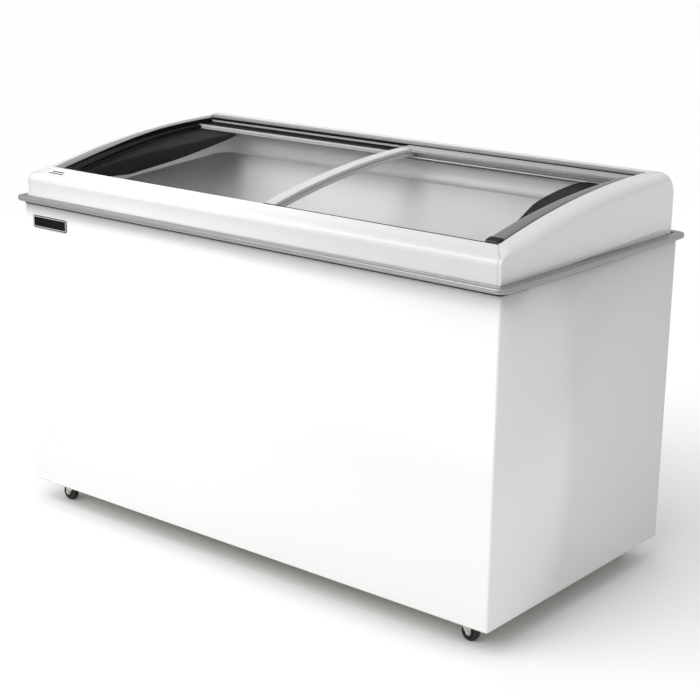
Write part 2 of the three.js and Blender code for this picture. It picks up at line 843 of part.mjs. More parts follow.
// ---------------------------------------------------------------- lids
// One lid: glass held by a bar at its inner end, a grip at its outer end and a rail at the rear.
function addLid(name, lid) {
  const { x0, x1, gripAtLeft, drop, front, rear, ledgeFront, ledgeRear } = lid;
  const railTop = drop;
  const railBottom = drop + lidRailThickness;
  const glassTop = drop + (lidRailThickness - glassThickness) / 2;
  const leftWidth = gripAtLeft ? lidGripWidth : lidBarWidth;
  const rightWidth = gripAtLeft ? lidBarWidth : lidGripWidth;
  const frontEdge = front + lidFrontRunnerDepth;
  const pane = (grow) =>
    alongX(
      crownBand(
        front + 3 - grow, rear - lidRearRailDepth + glassBite + grow,
        glassTop - grow, glassTop + glassThickness + grow, 16,
      ),
      x0 + leftWidth - glassBite - grow,
      x1 - rightWidth + glassBite + grow,
    );
  const sideRail = (from, to) =>
    alongX(
      crownBand(
        frontEdge + fitGap, rear - lidRearRailDepth - fitGap, railTop, railBottom, 16,
      ),
      from,
      to,
    ).subtract(pane(fitGap));
  const rearRail = alongX(
    crownBand(rear - lidRearRailDepth, rear, railTop, railBottom, 4), x0, x1,
  ).add(
    block(
      x0, x1, rear - lidFrontRunnerDepth, rear,
      ledgeRear + runnerClearance, crownHeight(rear, railBottom) + 2,
    ),
  );
  const frontRunner = alongX(crownBand(front, frontEdge, railTop + 0.5, railBottom, 2), x0, x1).add(
    block(
      x0, x1, front, frontEdge,
      ledgeFront + runnerClearance, crownHeight(frontEdge, railBottom) + 2,
    ).subtract(alongX(crownBand(front - 1, frontEdge + 1, -20, railBottom - 0.5, 2), x0 - 1, x1 + 1)),
  );
  const leftName = gripAtLeft ? 'grip' : 'centre_bar';
  const rightName = gripAtLeft ? 'centre_bar' : 'grip';
  const look = (part) => (part === 'grip' ? finishes.darkPlastic : finishes.greyPlastic);
  addPart(`${name}_lid_glass`, pane(0), finishes.glass);
  addPart(`${name}_lid_${leftName}`, sideRail(x0, x0 + leftWidth), look(leftName));
  addPart(`${name}_lid_${rightName}`, sideRail(x1 - rightWidth, x1), look(rightName));
  addPart(`${name}_lid_rear_rail`, rearRail.subtract(pane(fitGap)), finishes.greyPlastic);
  addPart(`${name}_lid_front_runner`, frontRunner.subtract(pane(fitGap)), finishes.blackPlastic);
}

// ---------------------------------------------------------------- castors
function addCastor(name, sideX, sideY) {
  const x = sideX * swivelX;
  const y = sideY * swivelY;
  const plateTop = floorClearance - fitGap;
  const plateBottom = plateTop - castorPlateThickness;
  const crownTop = plateBottom - fitGap;
  const crownBottom = crownTop - forkWall;
  const axleX = x + sideX * castorTrail;
  const half = castorPlateSize / 2;
  const legInner = wheelWidth / 2 + 0.6;
  const plate = block(x - half, x + half, y - half, y + half, plateBottom, plateTop).subtract(
    cylinder(kingpinRadius + fitGap, -10, 10, 20, 'z', x, y, plateTop),
  );
  const crownSpan = [x - sideX * 11, axleX + sideX * 7].sort((a, b) => a - b);
  const crown = block(
    ...crownSpan, y - legInner - forkWall, y + legInner + forkWall, crownBottom, crownTop,
  );
  const legShape = polygon([
    [axleX - 7, wheelRadius - 6],
    [axleX + 7, wheelRadius - 6],
    [crownSpan[1], crownTop],
    [crownSpan[0], crownTop],
  ]);
  const leg = (from) => alongY(legShape, from, from + forkWall);
  const kingpin = cylinder(kingpinRadius, crownBottom, plateTop - 0.6, 20, 'z', x, y, 0);
  const axleHalf = legInner + forkWall + 2;
  const axle = cylinder(axleRadius, -axleHalf, axleHalf, 16, 'y', axleX, y, wheelRadius);
  const fork = crown
    .add(leg(y - legInner - forkWall))
    .add(leg(y + legInner))
    .add(kingpin)
    .add(axle);
  const w = wheelWidth / 2;
  const wheel = turned(
    [
      [axleRadius + fitGap, -w],
      [wheelRadius - 2, -w],
      [wheelRadius, -w + 2.5],
      [wheelRadius, w - 2.5],
      [wheelRadius - 2, w],
      [axleRadius + fitGap, w],
      [axleRadius + fitGap, -w],
    ],
    24, 'y', axleX, y, wheelRadius,
  );
  addPart(`${name}_castor_plate`, plate, finishes.zinc);
  addPart(`${name}_castor_fork`, fork, finishes.zinc);
  addPart(`${name}_castor_wheel`, wheel, finishes.rubber);
}

// ---------------------------------------------------------------- refrigeration
const compressorAt = {
  x: (compartmentEdge - halfWidth) / 2,
  y: 60,
  z: floorClearance + sheetThickness + fitGap,
};
const baseRise = 14;
const baseThickness = 2;
const compressorFoot = compressorAt.z + baseRise + baseThickness + fitGap;
const spigotHeight = compressorFoot + 0.75 * compressorHeight;
const condenserFront = -halfDepth + 57;
const condenserDepth = 56;
const shroudY = condenserFront + condenserDepth + 6;
const condenserLeft = -halfWidth + 31;
const condenserRight = compartmentEdge - 29;
const condenserBottom = floorClearance + 54;
const condenserTop = compartmentTop - 60;
const fanAt = {
  x: (condenserLeft + condenserRight) / 2,
  z: (condenserBottom + condenserTop) / 2,
};
const drierAt = { x: compartmentEdge - 23, y: halfDepth - 149, z: floorClearance + 40 };
const drierLength = 100;

function compressorBase() {
  const { x, y, z } = compressorAt;
  const plate = block(x - 92, x + 92, y - 62, y + 62, z + baseRise, z + baseRise + baseThickness);
  const feet = [[-80, -50], [80, -50], [-80, 50], [80, 50]].map(([dx, dy]) =>
    cylinder(9, 0, baseRise + 1, 16, 'z', x + dx, y + dy, z),
  );
  return feet.reduce((all, foot) => all.add(foot), plate);
}

function compressor() {
  const { x, y } = compressorAt;
  const r = compressorRadius;
  const h = compressorHeight;
  return turned(
    [
      [0, 0],
      [r - 18, 0],
      [r - 4, 10],
      [r, 28],
      [r, h * 0.5],
      [r + 4, h * 0.5],
      [r + 4, h * 0.5 + 5],
      [r, h * 0.5 + 5],
      [r - 3, h - 38],
      [r - 16, h - 14],
      [r - 40, h - 2],
      [0, h],
    ],
    28, 'z', x, y, compressorFoot,
  );
}

function terminalBox() {
  const { x, y, z } = compressorAt;
  const from = x + compressorRadius + 4 + fitGap;
  const low = z + baseRise + 60;
  return block(from, from + 34, y - 24, y + 24, low, low + 52);
}

// Finned block: a slab cut into fins from above, with its tubes at the ends.
function condenser() {
  const [x0, x1, z0, z1] = [condenserLeft, condenserRight, condenserBottom, condenserTop];
  const fins = 12;
  const pitch = (x1 - x0) / fins;
  const [y0, y1] = [condenserFront, condenserFront + condenserDepth];
  let core = block(x0, x1, y0, y1, z0, z1);
  for (let i = 0; i < fins; i += 1) {
    const x = x0 + pitch * (i + 0.2);
    core = core.subtract(
      block(x, x + pitch * 0.6, y0 - 5, y1 + 5, z0 + 8, z1 - 8),
    );
  }
  return core.add(block(x0, x1, condenserFront + 22, condenserFront + 34, fanAt.z - 4, fanAt.z + 4));
}

function fanShroud() {
  const { x, z } = fanAt;
  const plate = block(
    condenserLeft, condenserRight, shroudY, shroudY + 3, condenserBottom, condenserTop,
  );
  const strutHalf = 5;
  const strutLength = fanRadius + 12;
  const motorZ = [z - strutHalf, z + strutHalf];
  const hole = cylinder(fanRadius + 4, -10, 10, 40, 'y', x, shroudY, z);
  const strut = block(x - strutLength, x + strutLength, shroudY, shroudY + 3, ...motorZ);
  const pad = cylinder(20, shroudY, shroudY + 3, 20, 'y', x, 0, z);
  return plate.subtract(hole).add(strut).add(pad);
}

function fanMotor() {
  const { x, z } = fanAt;
  const from = shroudY + 3 + fitGap;
  const body = cylinder(17, from, from + 12, 24, 'y', x, 0, z);
  return body.add(cylinder(3, from + 12 - 1, from + 30, 12, 'y', x, 0, z));
}

function fanBlades() {
  const { x, z } = fanAt;
  const from = shroudY + 3 + fitGap + 14;
  const hub = cylinder(14, from, from + 14, 20, 'y', x, 0, z);
  const blades = 5;
  let fan = hub;
  for (let i = 0; i < blades; i += 1) {
    const blade = new THREE.BoxGeometry(fanRadius - 12, 2, 34);
    blade.rotateX(0.42);
    blade.translate((fanRadius - 12) / 2 + 10, 0, 0);
    blade.rotateY((2 * Math.PI * i) / blades);
    blade.translate(x, from + 7, z);
    fan = fan.add(toSolid(blade));
  }
  const bore = cylinder(3 + fitGap, from - 20, from + 20, 12, 'y', x, 0, z);
  return fan.subtract(bore);
}

// Loops round the tank with round corners, climbing one pitch in each turn.
class TankLoops extends THREE.Curve {
  constructor(halfX, halfY, radius, low, pitch, turns, cornerSteps) {
    super();
    Object.assign(this, { halfX, halfY, radius, low, pitch, turns, cornerSteps });
  }

  // A side is one step for its straight and a few for its corner.
  getPoint(t, target = new THREE.Vector3()) {
    const stepsPerSide = 1 + this.cornerSteps;
    const turn = Math.min(t, 1) * this.turns;
    const step = (turn % 1) * 4 * stepsPerSide;
    const side = Math.min(Math.floor(step / stepsPerSide), 3);
    const within = step - side * stepsPerSide;
    const flat = [
      { x: -1, y: 1, run: [2 * (this.halfX - this.radius), 0], start: Math.PI / 2 },
      { x: 1, y: 1, run: [0, -2 * (this.halfY - this.radius)], start: 0 },
      { x: 1, y: -1, run: [-2 * (this.halfX - this.radius), 0], start: -Math.PI / 2 },
      { x: -1, y: -1, run: [0, 2 * (this.halfY - this.radius)], start: Math.PI },
    ][side];
    const along = Math.min(within, 1);
    const angle = flat.start - (Math.PI / 2) * (Math.max(within - 1, 0) / this.cornerSteps);
    const centreX = flat.x * (this.halfX - this.radius) + flat.run[0] * along;
    const centreY = flat.y * (this.halfY - this.radius) + flat.run[1] * along;
    return target.set(
      centreX + this.radius * Math.cos(angle),
      centreY + this.radius * Math.sin(angle),
      this.low + this.pitch * turn,
    );
  }

  // Keeps the steps where getPoint puts them, so straights stay single steps.
  getUtoTmapping(u) {
    return u;
  }
}

function roundSection(radius, sides) {
  return new THREE.Shape(
    Array.from({ length: sides }, (_, i) => {
      const angle = (2 * Math.PI * i) / sides;
      return new THREE.Vector2(radius * Math.cos(angle), radius * Math.sin(angle));
    }),
  );
}

function tubeOn(curve, radius, steps) {
  const section = roundSection(radius, 8);
  return toSolid(
    new THREE.ExtrudeGeometry(section, { steps, bevelEnabled: false, extrudePath: curve }),
  );
}

function tubeThrough(points, radius, steps = 24) {
  const places = points.map(([x, y, z]) => new THREE.Vector3(x, y, z));
  return tubeOn(new THREE.CatmullRomCurve3(places, false, 'centripetal'), radius, steps);
}

function evaporatorTube() {
  const offset = tubeStandOff + tubeRadius;
  const cornerSteps = 4;
  const loops = new TankLoops(
    tankX + offset, tankY + offset, tankCornerRadius + offset,
    evaporatorLow, evaporatorPitch, evaporatorLoops, cornerSteps,
  );
  return tubeOn(loops, tubeRadius, evaporatorLoops * 4 * (1 + cornerSteps));
}

// The lines of the refrigerant, each from one fitting to the next.
function dischargeLine() {
  const { x, y } = compressorAt;
  const start = y - compressorRadius - 1;
  return tubeThrough(
    [
      [x, start, spigotHeight],
      [x, start - 30, spigotHeight + 25],
      [x + 20, start - 80, compartmentTop - 56],
      [x + 50, shroudY + 50, compartmentTop - 40],
      [condenserRight - 14, condenserFront + 55, compartmentTop - 38],
      [condenserRight - 12, condenserFront + 30, compartmentTop - 44],
      [condenserRight - 12, condenserFront + 28, condenserTop + 0.6],
    ],
    tubeRadius - 1,
  );
}

function suctionLine() {
  const { x, y } = compressorAt;
  const start = y + compressorRadius + 1;
  return tubeThrough(
    [
      [x, start, spigotHeight],
      [x, start + 30, spigotHeight + 15],
      [x + 15, start + 71, compartmentTop - 94],
      [x + 50, chaseY - 20, compartmentTop - 44],
      [chaseX, chaseY, compartmentTop - 2],
      [chaseX, chaseY, evaporatorLow - tubeRadius - 1.5],
    ],
    tubeRadius,
  );
}

function liquidLine() {
  return tubeThrough(
    [
      [condenserRight + 2.4, condenserFront + 28, condenserBottom + 10],
      [condenserRight + 12, condenserFront + 34, condenserBottom + 4],
      [condenserRight + 15, condenserFront + 102, floorClearance + 26],
      [condenserRight + 15, drierAt.y - 170, floorClearance + 22],
      [condenserRight + 14, drierAt.y - 50, floorClearance + 16],
      [drierAt.x, drierAt.y - 3, drierAt.z - 18],
      [drierAt.x, drierAt.y, drierAt.z - 0.6],
    ],
    tubeRadius - 1,
  );
}

function capillaryTube() {
  return tubeThrough(
    [
      [drierAt.x, drierAt.y, drierAt.z + drierLength + 0.6],
      [drierAt.x, drierAt.y + 4, drierAt.z + drierLength + 20],
      [drierAt.x - 4, drierAt.y + 45, compartmentTop - 86],
      [chaseX + 12, chaseY - 8, compartmentTop - 26],
      [chaseX + 12, chaseY, compartmentTop + 6],
      [chaseX + 12, chaseY, evaporatorLow - tubeRadius - 1.5],
    ],
    capillaryRadius,
  );
}

function drierTube() {
  return turned(
    [[0, 0], [4, 0], [11, 12], [11, drierLength - 12], [4, drierLength], [0, drierLength]],
    20, 'z', drierAt.x, drierAt.y, drierAt.z,
  );
}

// ---------------------------------------------------------------- fittings
function badge() {
  const left = badgeFromSide - halfWidth;
  const right = left + badgeWidth;
  const low = bodyTop - badgeFromTop;
  const high = low + badgeHeight;
  const r = badgeCorner;
  const shape = new THREE.Shape();
  shape.moveTo(left + r, low);
  shape.absarc(right - r, low + r, r, -Math.PI / 2, 0, false);
  shape.absarc(right - r, high - r, r, 0, Math.PI / 2, false);
  shape.absarc(left + r, high - r, r, Math.PI / 2, Math.PI, false);
  shape.absarc(left + r, low + r, r, Math.PI, 1.5 * Math.PI, false);
  return alongY(shape, -halfDepth - badgeThickness, -halfDepth - fitGap, 3);
}

function drainTube() {
  const { x, y, bore, wall, flange, outletZ } = drain;
  const top = tankFloor + fitGap;
  return turned(
    [
      [bore, outletZ],
      [bore + wall, outletZ],
      [bore + wall, top],
      [flange, top],
      [flange, top + 2],
      [bore, top + 2],
      [bore, outletZ],
    ],
    24, 'z', x, y, 0,
  );
}

function drainPlug() {
  const { x, y, bore } = drain;
  const seat = tankFloor + fitGap + 2 + fitGap;
  return turned(
    [
      [0, seat - 16],
      [bore - 1.2, seat - 16],
      [bore - fitGap, seat],
      [bore + 6, seat],
      [bore + 6, seat + 3],
      [5, seat + 4],
      [5, seat + 12],
      [8, seat + 15],
      [8, seat + 19],
      [0, seat + 19],
    ],
    24, 'z', x, y, 0,
  );
}

function powerInlet() {
  const { x, z, radius } = inlet;
  return turned(
    [
      [3.6, -6],
      [radius, -6],
      [radius, fitGap],
      [radius + 3, fitGap],
      [radius + 3, 2.5],
      [radius - 1, 3],
      [radius - 3, 14],
      [3.6, 14],
      [3.6, -6],
    ],
    24, 'y', x, halfDepth, z,
  );
}

function thermostatBody() {
  const inner = -halfWidth + sheetThickness + fitGap;
  const { y, z } = knob;
  return block(inner, inner + 30, y - 22, y + 22, z - 18, z + 18).add(
    cylinder(spindleRadius, -11.5, 3, 12, 'x', inner, y, z),
  );
}

function thermostatKnob() {
  const { y, z, radius, height, bevel, boreDepth } = knob;
  return turned(
    [
      [spindleRadius + fitGap, 0],
      [radius, 0],
      [radius, -height + bevel],
      [radius - bevel, -height],
      [0, -height],
      [0, -boreDepth],
      [spindleRadius + fitGap, -boreDepth],
      [spindleRadius + fitGap, 0],
    ],
    28, 'x', -halfWidth - 1, y, z,
  );
}

// ---------------------------------------------------------------- assembly
addPart('outer_wrap', outerWrap(), finishes.whiteSheet);
addPart('rear_panel', rearPanel(), finishes.whiteSheet);
addPart('base_pan', basePan(), finishes.zinc);
addPart('insulation', wallInsulation(), finishes.foam);
addPart('insulation_floor', floorInsulationSlab(), finishes.foam);
addPart('tank_liner', innerLiner(), finishes.linerSheet);
addPart('tank_collar', linerCollar(), finishes.whitePlastic);
addPart('front_sill', frontSill(), finishes.whitePlastic);
addPart('rear_sill', rearSill(), finishes.whitePlastic);
addPart('left_end_cap', endCap(-1), finishes.whitePlastic);
addPart('right_end_cap', endCap(1), finishes.whitePlastic);
addPart('left_end_trim', endTrim(-1), finishes.blackPlastic);
addPart('right_end_trim', endTrim(1), finishes.blackPlastic);
addPart('front_track', frontTrack(), finishes.blackPlastic);
addPart('rear_track', rearTrack(), finishes.blackPlastic);
addPart('bumper_rail', bumperRail(), finishes.aluminium);
addPart('front_badge', badge(), finishes.blackPlastic);
addPart(
  'side_grille', grillePanel(sideGrille, alongX, -halfWidth - fitGap, -1), finishes.whitePlastic,
);
addPart(
  'rear_grille', grillePanel(rearGrille, alongY, halfDepth + fitGap, 1), finishes.blackPlastic,
);
addPart('drain_tube', drainTube(), finishes.drainPlastic);
addPart('drain_plug', drainPlug(), finishes.rubber);
addPart('power_inlet', powerInlet(), finishes.blackPlastic);
addPart('thermostat_body', thermostatBody(), finishes.drainPlastic);
addPart('thermostat_knob', thermostatKnob(), finishes.blackPlastic);
addPart('compressor_base', compressorBase(), finishes.blackSteel);
addPart('compressor', compressor(), finishes.blackSteel);
addPart('compressor_terminal_box', terminalBox(), finishes.drainPlastic);
addPart('condenser', condenser(), finishes.aluminium);
addPart('fan_shroud', fanShroud(), finishes.blackPlastic);
addPart('fan_motor', fanMotor(), finishes.blackSteel);
addPart('fan_blades', fanBlades(), finishes.blackPlastic);
addPart('filter_drier', drierTube(), finishes.copper);
addPart('evaporator_tube', evaporatorTube(), finishes.copper);
addPart('discharge_line', dischargeLine(), finishes.copper);
addPart('suction_line', suctionLine(), finishes.copper);
addPart('liquid_line', liquidLine(), finishes.copper);
addPart('capillary_tube', capillaryTube(), finishes.copper);

addLid('right', {
  x0: lidBarLeft,
  x1: lidEnd,
  gripAtLeft: false,
  drop: upperLidDrop,
  front: upperLidFront,
  rear: upperLidRear,
  ledgeFront: upperLedgeFront,
  ledgeRear: upperLedgeRear,
});
addLid('left', {
  x0: -lidEnd,
  x1: leftLidEnd,
  gripAtLeft: true,
  drop: lowerLidDrop,
  front: lowerLidFront,
  rear: lowerLidRear,
  ledgeFront: lowerLedgeFront,
  ledgeRear: lowerLedgeRear,
});

addCastor('front_left', -1, -1);
addCastor('front_right', 1, -1);
addCastor('rear_left', -1, 1);
addCastor('rear_right', 1, 1);

export default freezer;
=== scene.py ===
import math

import bmesh
import bpy
import numpy as np
from mathutils import Matrix, Vector


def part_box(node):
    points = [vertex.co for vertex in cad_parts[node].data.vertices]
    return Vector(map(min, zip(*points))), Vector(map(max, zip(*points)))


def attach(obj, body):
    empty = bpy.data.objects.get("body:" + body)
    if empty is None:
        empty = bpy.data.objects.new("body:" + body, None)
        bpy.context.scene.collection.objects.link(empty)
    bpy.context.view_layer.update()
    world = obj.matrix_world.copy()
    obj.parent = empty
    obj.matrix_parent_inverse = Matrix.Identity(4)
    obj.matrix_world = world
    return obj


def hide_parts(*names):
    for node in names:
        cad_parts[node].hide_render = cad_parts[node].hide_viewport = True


# Chest freezer with two curved sliding glass lids: the looks around its fixed frame.
# Metres, +Z up, the front towards -Y, the origin on the floor under the middle.

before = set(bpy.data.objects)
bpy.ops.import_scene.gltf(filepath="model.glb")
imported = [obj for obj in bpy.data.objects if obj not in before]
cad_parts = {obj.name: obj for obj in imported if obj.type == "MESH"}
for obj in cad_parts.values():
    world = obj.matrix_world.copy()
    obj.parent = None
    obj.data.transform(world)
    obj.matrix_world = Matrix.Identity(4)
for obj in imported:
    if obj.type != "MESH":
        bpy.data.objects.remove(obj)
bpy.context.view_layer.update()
MM = 0.001

# ---------------------------------------------------------------- places read from the frame
SHELL_LOW, SHELL_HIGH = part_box("outer_wrap")
HALF_WIDTH = SHELL_HIGH.x
HALF_DEPTH = -SHELL_LOW.y
BODY_FOOT = SHELL_LOW.z
BODY_TOP = SHELL_HIGH.z
OPENING_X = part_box("right_end_cap")[0].x
FRAME_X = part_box("right_end_cap")[1].x
CROWN_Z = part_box("right_end_cap")[1].z
FRAME_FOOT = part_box("right_end_cap")[0].z
FRAME_Y = -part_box("front_sill")[0].y
OPENING_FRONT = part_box("front_sill")[1].y
OPENING_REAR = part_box("rear_sill")[0].y
TANK_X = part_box("tank_collar")[1].x - 2.5 * MM
TANK_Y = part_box("tank_collar")[1].y - 2.5 * MM
TANK_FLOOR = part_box("tank_liner")[0].z + 1 * MM
RAIL_LOW, RAIL_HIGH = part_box("bumper_rail")

# ---------------------------------------------------------------- sizes of the visible pieces
CROWN_FALL = 64.5 * MM
CROWN_SETBACK = 62 * MM
REAR_CORNER = 45 * MM
CAP_SLOPE = 14
SHEET = 1 * MM
SHEET_BEND = 5 * MM
MOULDING = 2.5 * MM
TANK_CORNER = 35 * MM
RIM_RISE = 13 * MM
RIM_SLOPE = 38 * MM
COLLAR_RISE = 40 * MM
COLLAR_SLOPE = 64 * MM
STEP_X = -327 * MM
STEP_FLOOR = 416 * MM
LENS_FROM = -241 * MM
LENS_TO = 203 * MM
LENS_TOP = 26 * MM
LENS_BOTTOM = 62 * MM
UPPER_DROP = 5.2 * MM
LOWER_DROP = 14.6 * MM
SILL_STRIP = 14 * MM
LID_RAIL = 8 * MM
LID_BAR = 28 * MM
LID_REAR_RAIL = 36 * MM
LID_RUNNER = 7 * MM
LID_GAP = 0.3 * MM
LID_SEAL = 26 * MM
GLASS_DROP = 2 * MM
GLASS_THICKNESS = 4 * MM
GLASS_BITE = 9 * MM
TRIM_WALL = 2 * MM
TRIM_PLATE = 3 * MM
LENS_REACH = 117 * MM
LENS_FOOT_BEND = 0.3

CROWN_Y = HALF_DEPTH - CROWN_SETBACK
CROWN_REACH = CROWN_Y - OPENING_FRONT
CROWN_RADIUS = (CROWN_REACH**2 + CROWN_FALL**2) / (2 * CROWN_FALL)


# ---------------------------------------------------------------- curves
def crown_height(y, drop=0.0):
    """Height of the arc that lies drop below the crown: z = top - R + sqrt((R - drop)^2 - (y - y0)^2)."""
    radius = CROWN_RADIUS - drop
    return CROWN_Z - CROWN_RADIUS + np.sqrt(radius**2 - (np.asarray(y) - CROWN_Y) ** 2)


def smooth_path(points, per_span):
    """A Catmull-Rom curve through the points: each span is the cubic of its four nearest points."""
    p = np.asarray(points, float)
    p = np.vstack([2 * p[0] - p[1], p, 2 * p[-1] - p[-2]])
    t = np.linspace(0, 1, per_span, endpoint=False)[None, :, None]
    a, b, c, d = (p[i : len(p) - 3 + i, None, :] for i in range(4))
    cubic = 0.5 * (
        2 * b + (c - a) * t + (2 * a - 5 * b + 4 * c - d) * t**2 + (3 * b - a - 3 * c + d) * t**3
    )
    return np.vstack([cubic.reshape(-1, p.shape[1]), p[-2]])


def arc(centre, radius, start, end, steps):
    """Points of a circular arc from one angle to another, in degrees."""
    angle = np.radians(np.linspace(start, end, steps))
    return np.stack([centre[0] + radius * np.cos(angle), centre[1] + radius * np.sin(angle)], -1)


def rounded_outline(half_u, half_v, radius, steps=8):
    """A rectangle with quarter-circle corners, as one closed loop that turns anticlockwise."""
    corners = [(1, -1, -90), (1, 1, 0), (-1, 1, 90), (-1, -1, 180)]
    return np.vstack(
        [
            arc((su * (half_u - radius), sv * (half_v - radius)), radius, a, a + 90, steps)
            for su, sv, a in corners
        ]
    )


def smoothstep(x, start, end):
    """0 before start, 1 after end, and 3t^2 - 2t^3 between them."""
    t = np.clip((np.asarray(x) - start) / (end - start), 0, 1)
    return t * t * (3 - 2 * t)


# ---------------------------------------------------------------- forms: (points, faces)
def grid_faces(rings, count, closed=False):
    """Quads between neighbouring rings of a grid; a closed ring joins its last point to its first."""
    across = count if closed else count - 1
    ring = np.arange(rings - 1)[:, None] * count
    here = np.arange(across)[None, :]
    there = (here + 1) % count
    quads = [ring + here, ring + there, ring + count + there, ring + count + here]
    return np.stack(quads, -1).reshape(-1, 4).tolist()


def sheet(grid, closed=False):
    """An open surface from a grid of points, rings by points."""
    grid = np.asarray(grid, float)
    return grid.reshape(-1, 3), grid_faces(grid.shape[0], grid.shape[1], closed)


def carry(path, across, up, section, loop=False):
    """Carries a closed section along a path: path + u * across + v * up for each (u, v) of it."""
    path, across, up = (np.atleast_2d(np.asarray(a, float)) for a in (path, across, up))
    section = np.asarray(section, float)
    if section.ndim == 2:
        section = np.broadcast_to(section, (len(path), *section.shape))
    across = np.broadcast_to(across, path.shape)
    up = np.broadcast_to(up, path.shape)
    rings = path[:, None] + section[..., :1] * across[:, None] + section[..., 1:] * up[:, None]
    count = section.shape[1]
    points = rings.reshape(-1, 3)
    if loop:
        faces = grid_faces(len(path) + 1, count, True)
        return points, [[i % len(points) for i in face] for face in faces]
    faces = grid_faces(len(path), count, True)
    ends = [list(range(count))[::-1], list(range(len(points) - count, len(points)))]
    return points, faces + ends


def slab(outline, axis, low, high):
    """A closed outline carried straight along an axis; it is drawn in the other two, in X, Y, Z order."""
    direction, across, up = {
        "x": ((1, 0, 0), (0, 1, 0), (0, 0, 1)),
        "y": ((0, 1, 0), (1, 0, 0), (0, 0, 1)),
        "z": ((0, 0, 1), (1, 0, 0), (0, 1, 0)),
    }[axis]
    path = np.outer([low, high], direction)
    return carry(path, across, up, outline)


def brick(x0, x1, y0, y1, z0, z1):
    """A plain box between two corners, for small inner details."""
    return slab([(x0, y0), (x1, y0), (x1, y1), (x0, y1)], "z", z0, z1)


def turn(profile, axis, centre, steps=48):
    """Turns a profile of (radius, place along the axis) right round the axis through the centre."""
    angle = np.linspace(0, 2 * math.pi, steps, endpoint=False)[:, None]
    radius, along = np.asarray(profile, float).T
    u, v = radius * np.cos(angle), radius * np.sin(angle)
    w = np.broadcast_to(along, u.shape)
    order = {"x": (w, u, v), "y": (u, w, v), "z": (u, v, w)}[axis]
    points = np.stack(order, -1) + np.asarray(centre, float)
    faces = grid_faces(steps + 1, points.shape[1])
    points = points.reshape(-1, 3)
    return points, [[i % len(points) for i in face] for face in faces]


def joined(*forms):
    """Several forms as one: their points follow each other and their faces count on."""
    starts = np.cumsum([0] + [len(points) for points, _ in forms[:-1]])
    faces = [[i + int(start) for i in face] for start, (_, fs) in zip(starts, forms) for face in fs]
    return np.vstack([points for points, _ in forms]), faces


def piece(
    name, form, finish, body="cabinet", slot=None, replaces=(),
    inside=None, hollow=False, wall=0, even=True, edge=0, sharp=38,
):
    """Makes an object of a form. Closed forms turn their faces outwards; an open one turns them
    away from the inside point, or inwards when it is a hollow. wall gives an open sheet its
    thickness, kept even round its bends, and edge rounds its edges."""
    points, faces = form
    mesh = bpy.data.meshes.new(name)
    mesh.from_pydata(np.asarray(points, float).tolist(), [], faces)
    work = bmesh.new()
    work.from_mesh(mesh)
    bmesh.ops.remove_doubles(work, verts=work.verts, dist=2e-6)
    bmesh.ops.dissolve_degenerate(work, edges=work.edges, dist=1e-7)
    if inside is None:
        bmesh.ops.recalc_face_normals(work, faces=work.faces)
    else:
        anchor = Vector(inside)
        facing = sum(f.normal.dot(f.calc_center_median() - anchor) * f.calc_area() for f in work.faces)
        if facing < 0:
            bmesh.ops.reverse_faces(work, faces=work.faces)
    if hollow:
        bmesh.ops.reverse_faces(work, faces=work.faces)
    work.to_mesh(mesh)
    work.free()
    mesh.polygons.foreach_set("use_smooth", np.ones(len(mesh.polygons), bool))
    mesh.set_sharp_from_angle(angle=math.radians(sharp))
    mesh.materials.append(finish)
    made = bpy.data.objects.new(name, mesh)
    bpy.context.scene.collection.objects.link(made)
    if wall:
        solid = made.modifiers.new("wall", "SOLIDIFY")
        solid.thickness = wall
        solid.offset = -1
        solid.use_even_offset = even
    if edge:
        bevel = made.modifiers.new("edge", "BEVEL")
        bevel.width = edge
        bevel.segments = 2
        bevel.limit_method = "ANGLE"
        bevel.angle_limit = math.radians(sharp)
        bevel.harden_normals = True
    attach(made, body)
    if replaces:
        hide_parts(*replaces)
    return made


# ---------------------------------------------------------------- shaders
class Number:
    """A number socket that adds Math nodes when it is used in an expression."""

    def __init__(self, shader, socket):
        self.shader = shader
        self.socket = socket

    def _math(self, operation, *values):
        made = self.shader.node("Math", {"operation": operation}, dict(enumerate(values)))
        return Number(self.shader, made)

    def __add__(self, other):
        return self._math("ADD", self, other)

    def __sub__(self, other):
        return self._math("SUBTRACT", self, other)

    def __rsub__(self, other):
        return self._math("SUBTRACT", other, self)

    def __mul__(self, other):
        return self._math("MULTIPLY", self, other)

    def __pow__(self, other):
        return self._math("POWER", self, other)

    def clamped(self, low, high):
        return self._math("MINIMUM", self._math("MAXIMUM", self, low), high)

    __radd__ = __add__
    __rmul__ = __mul__


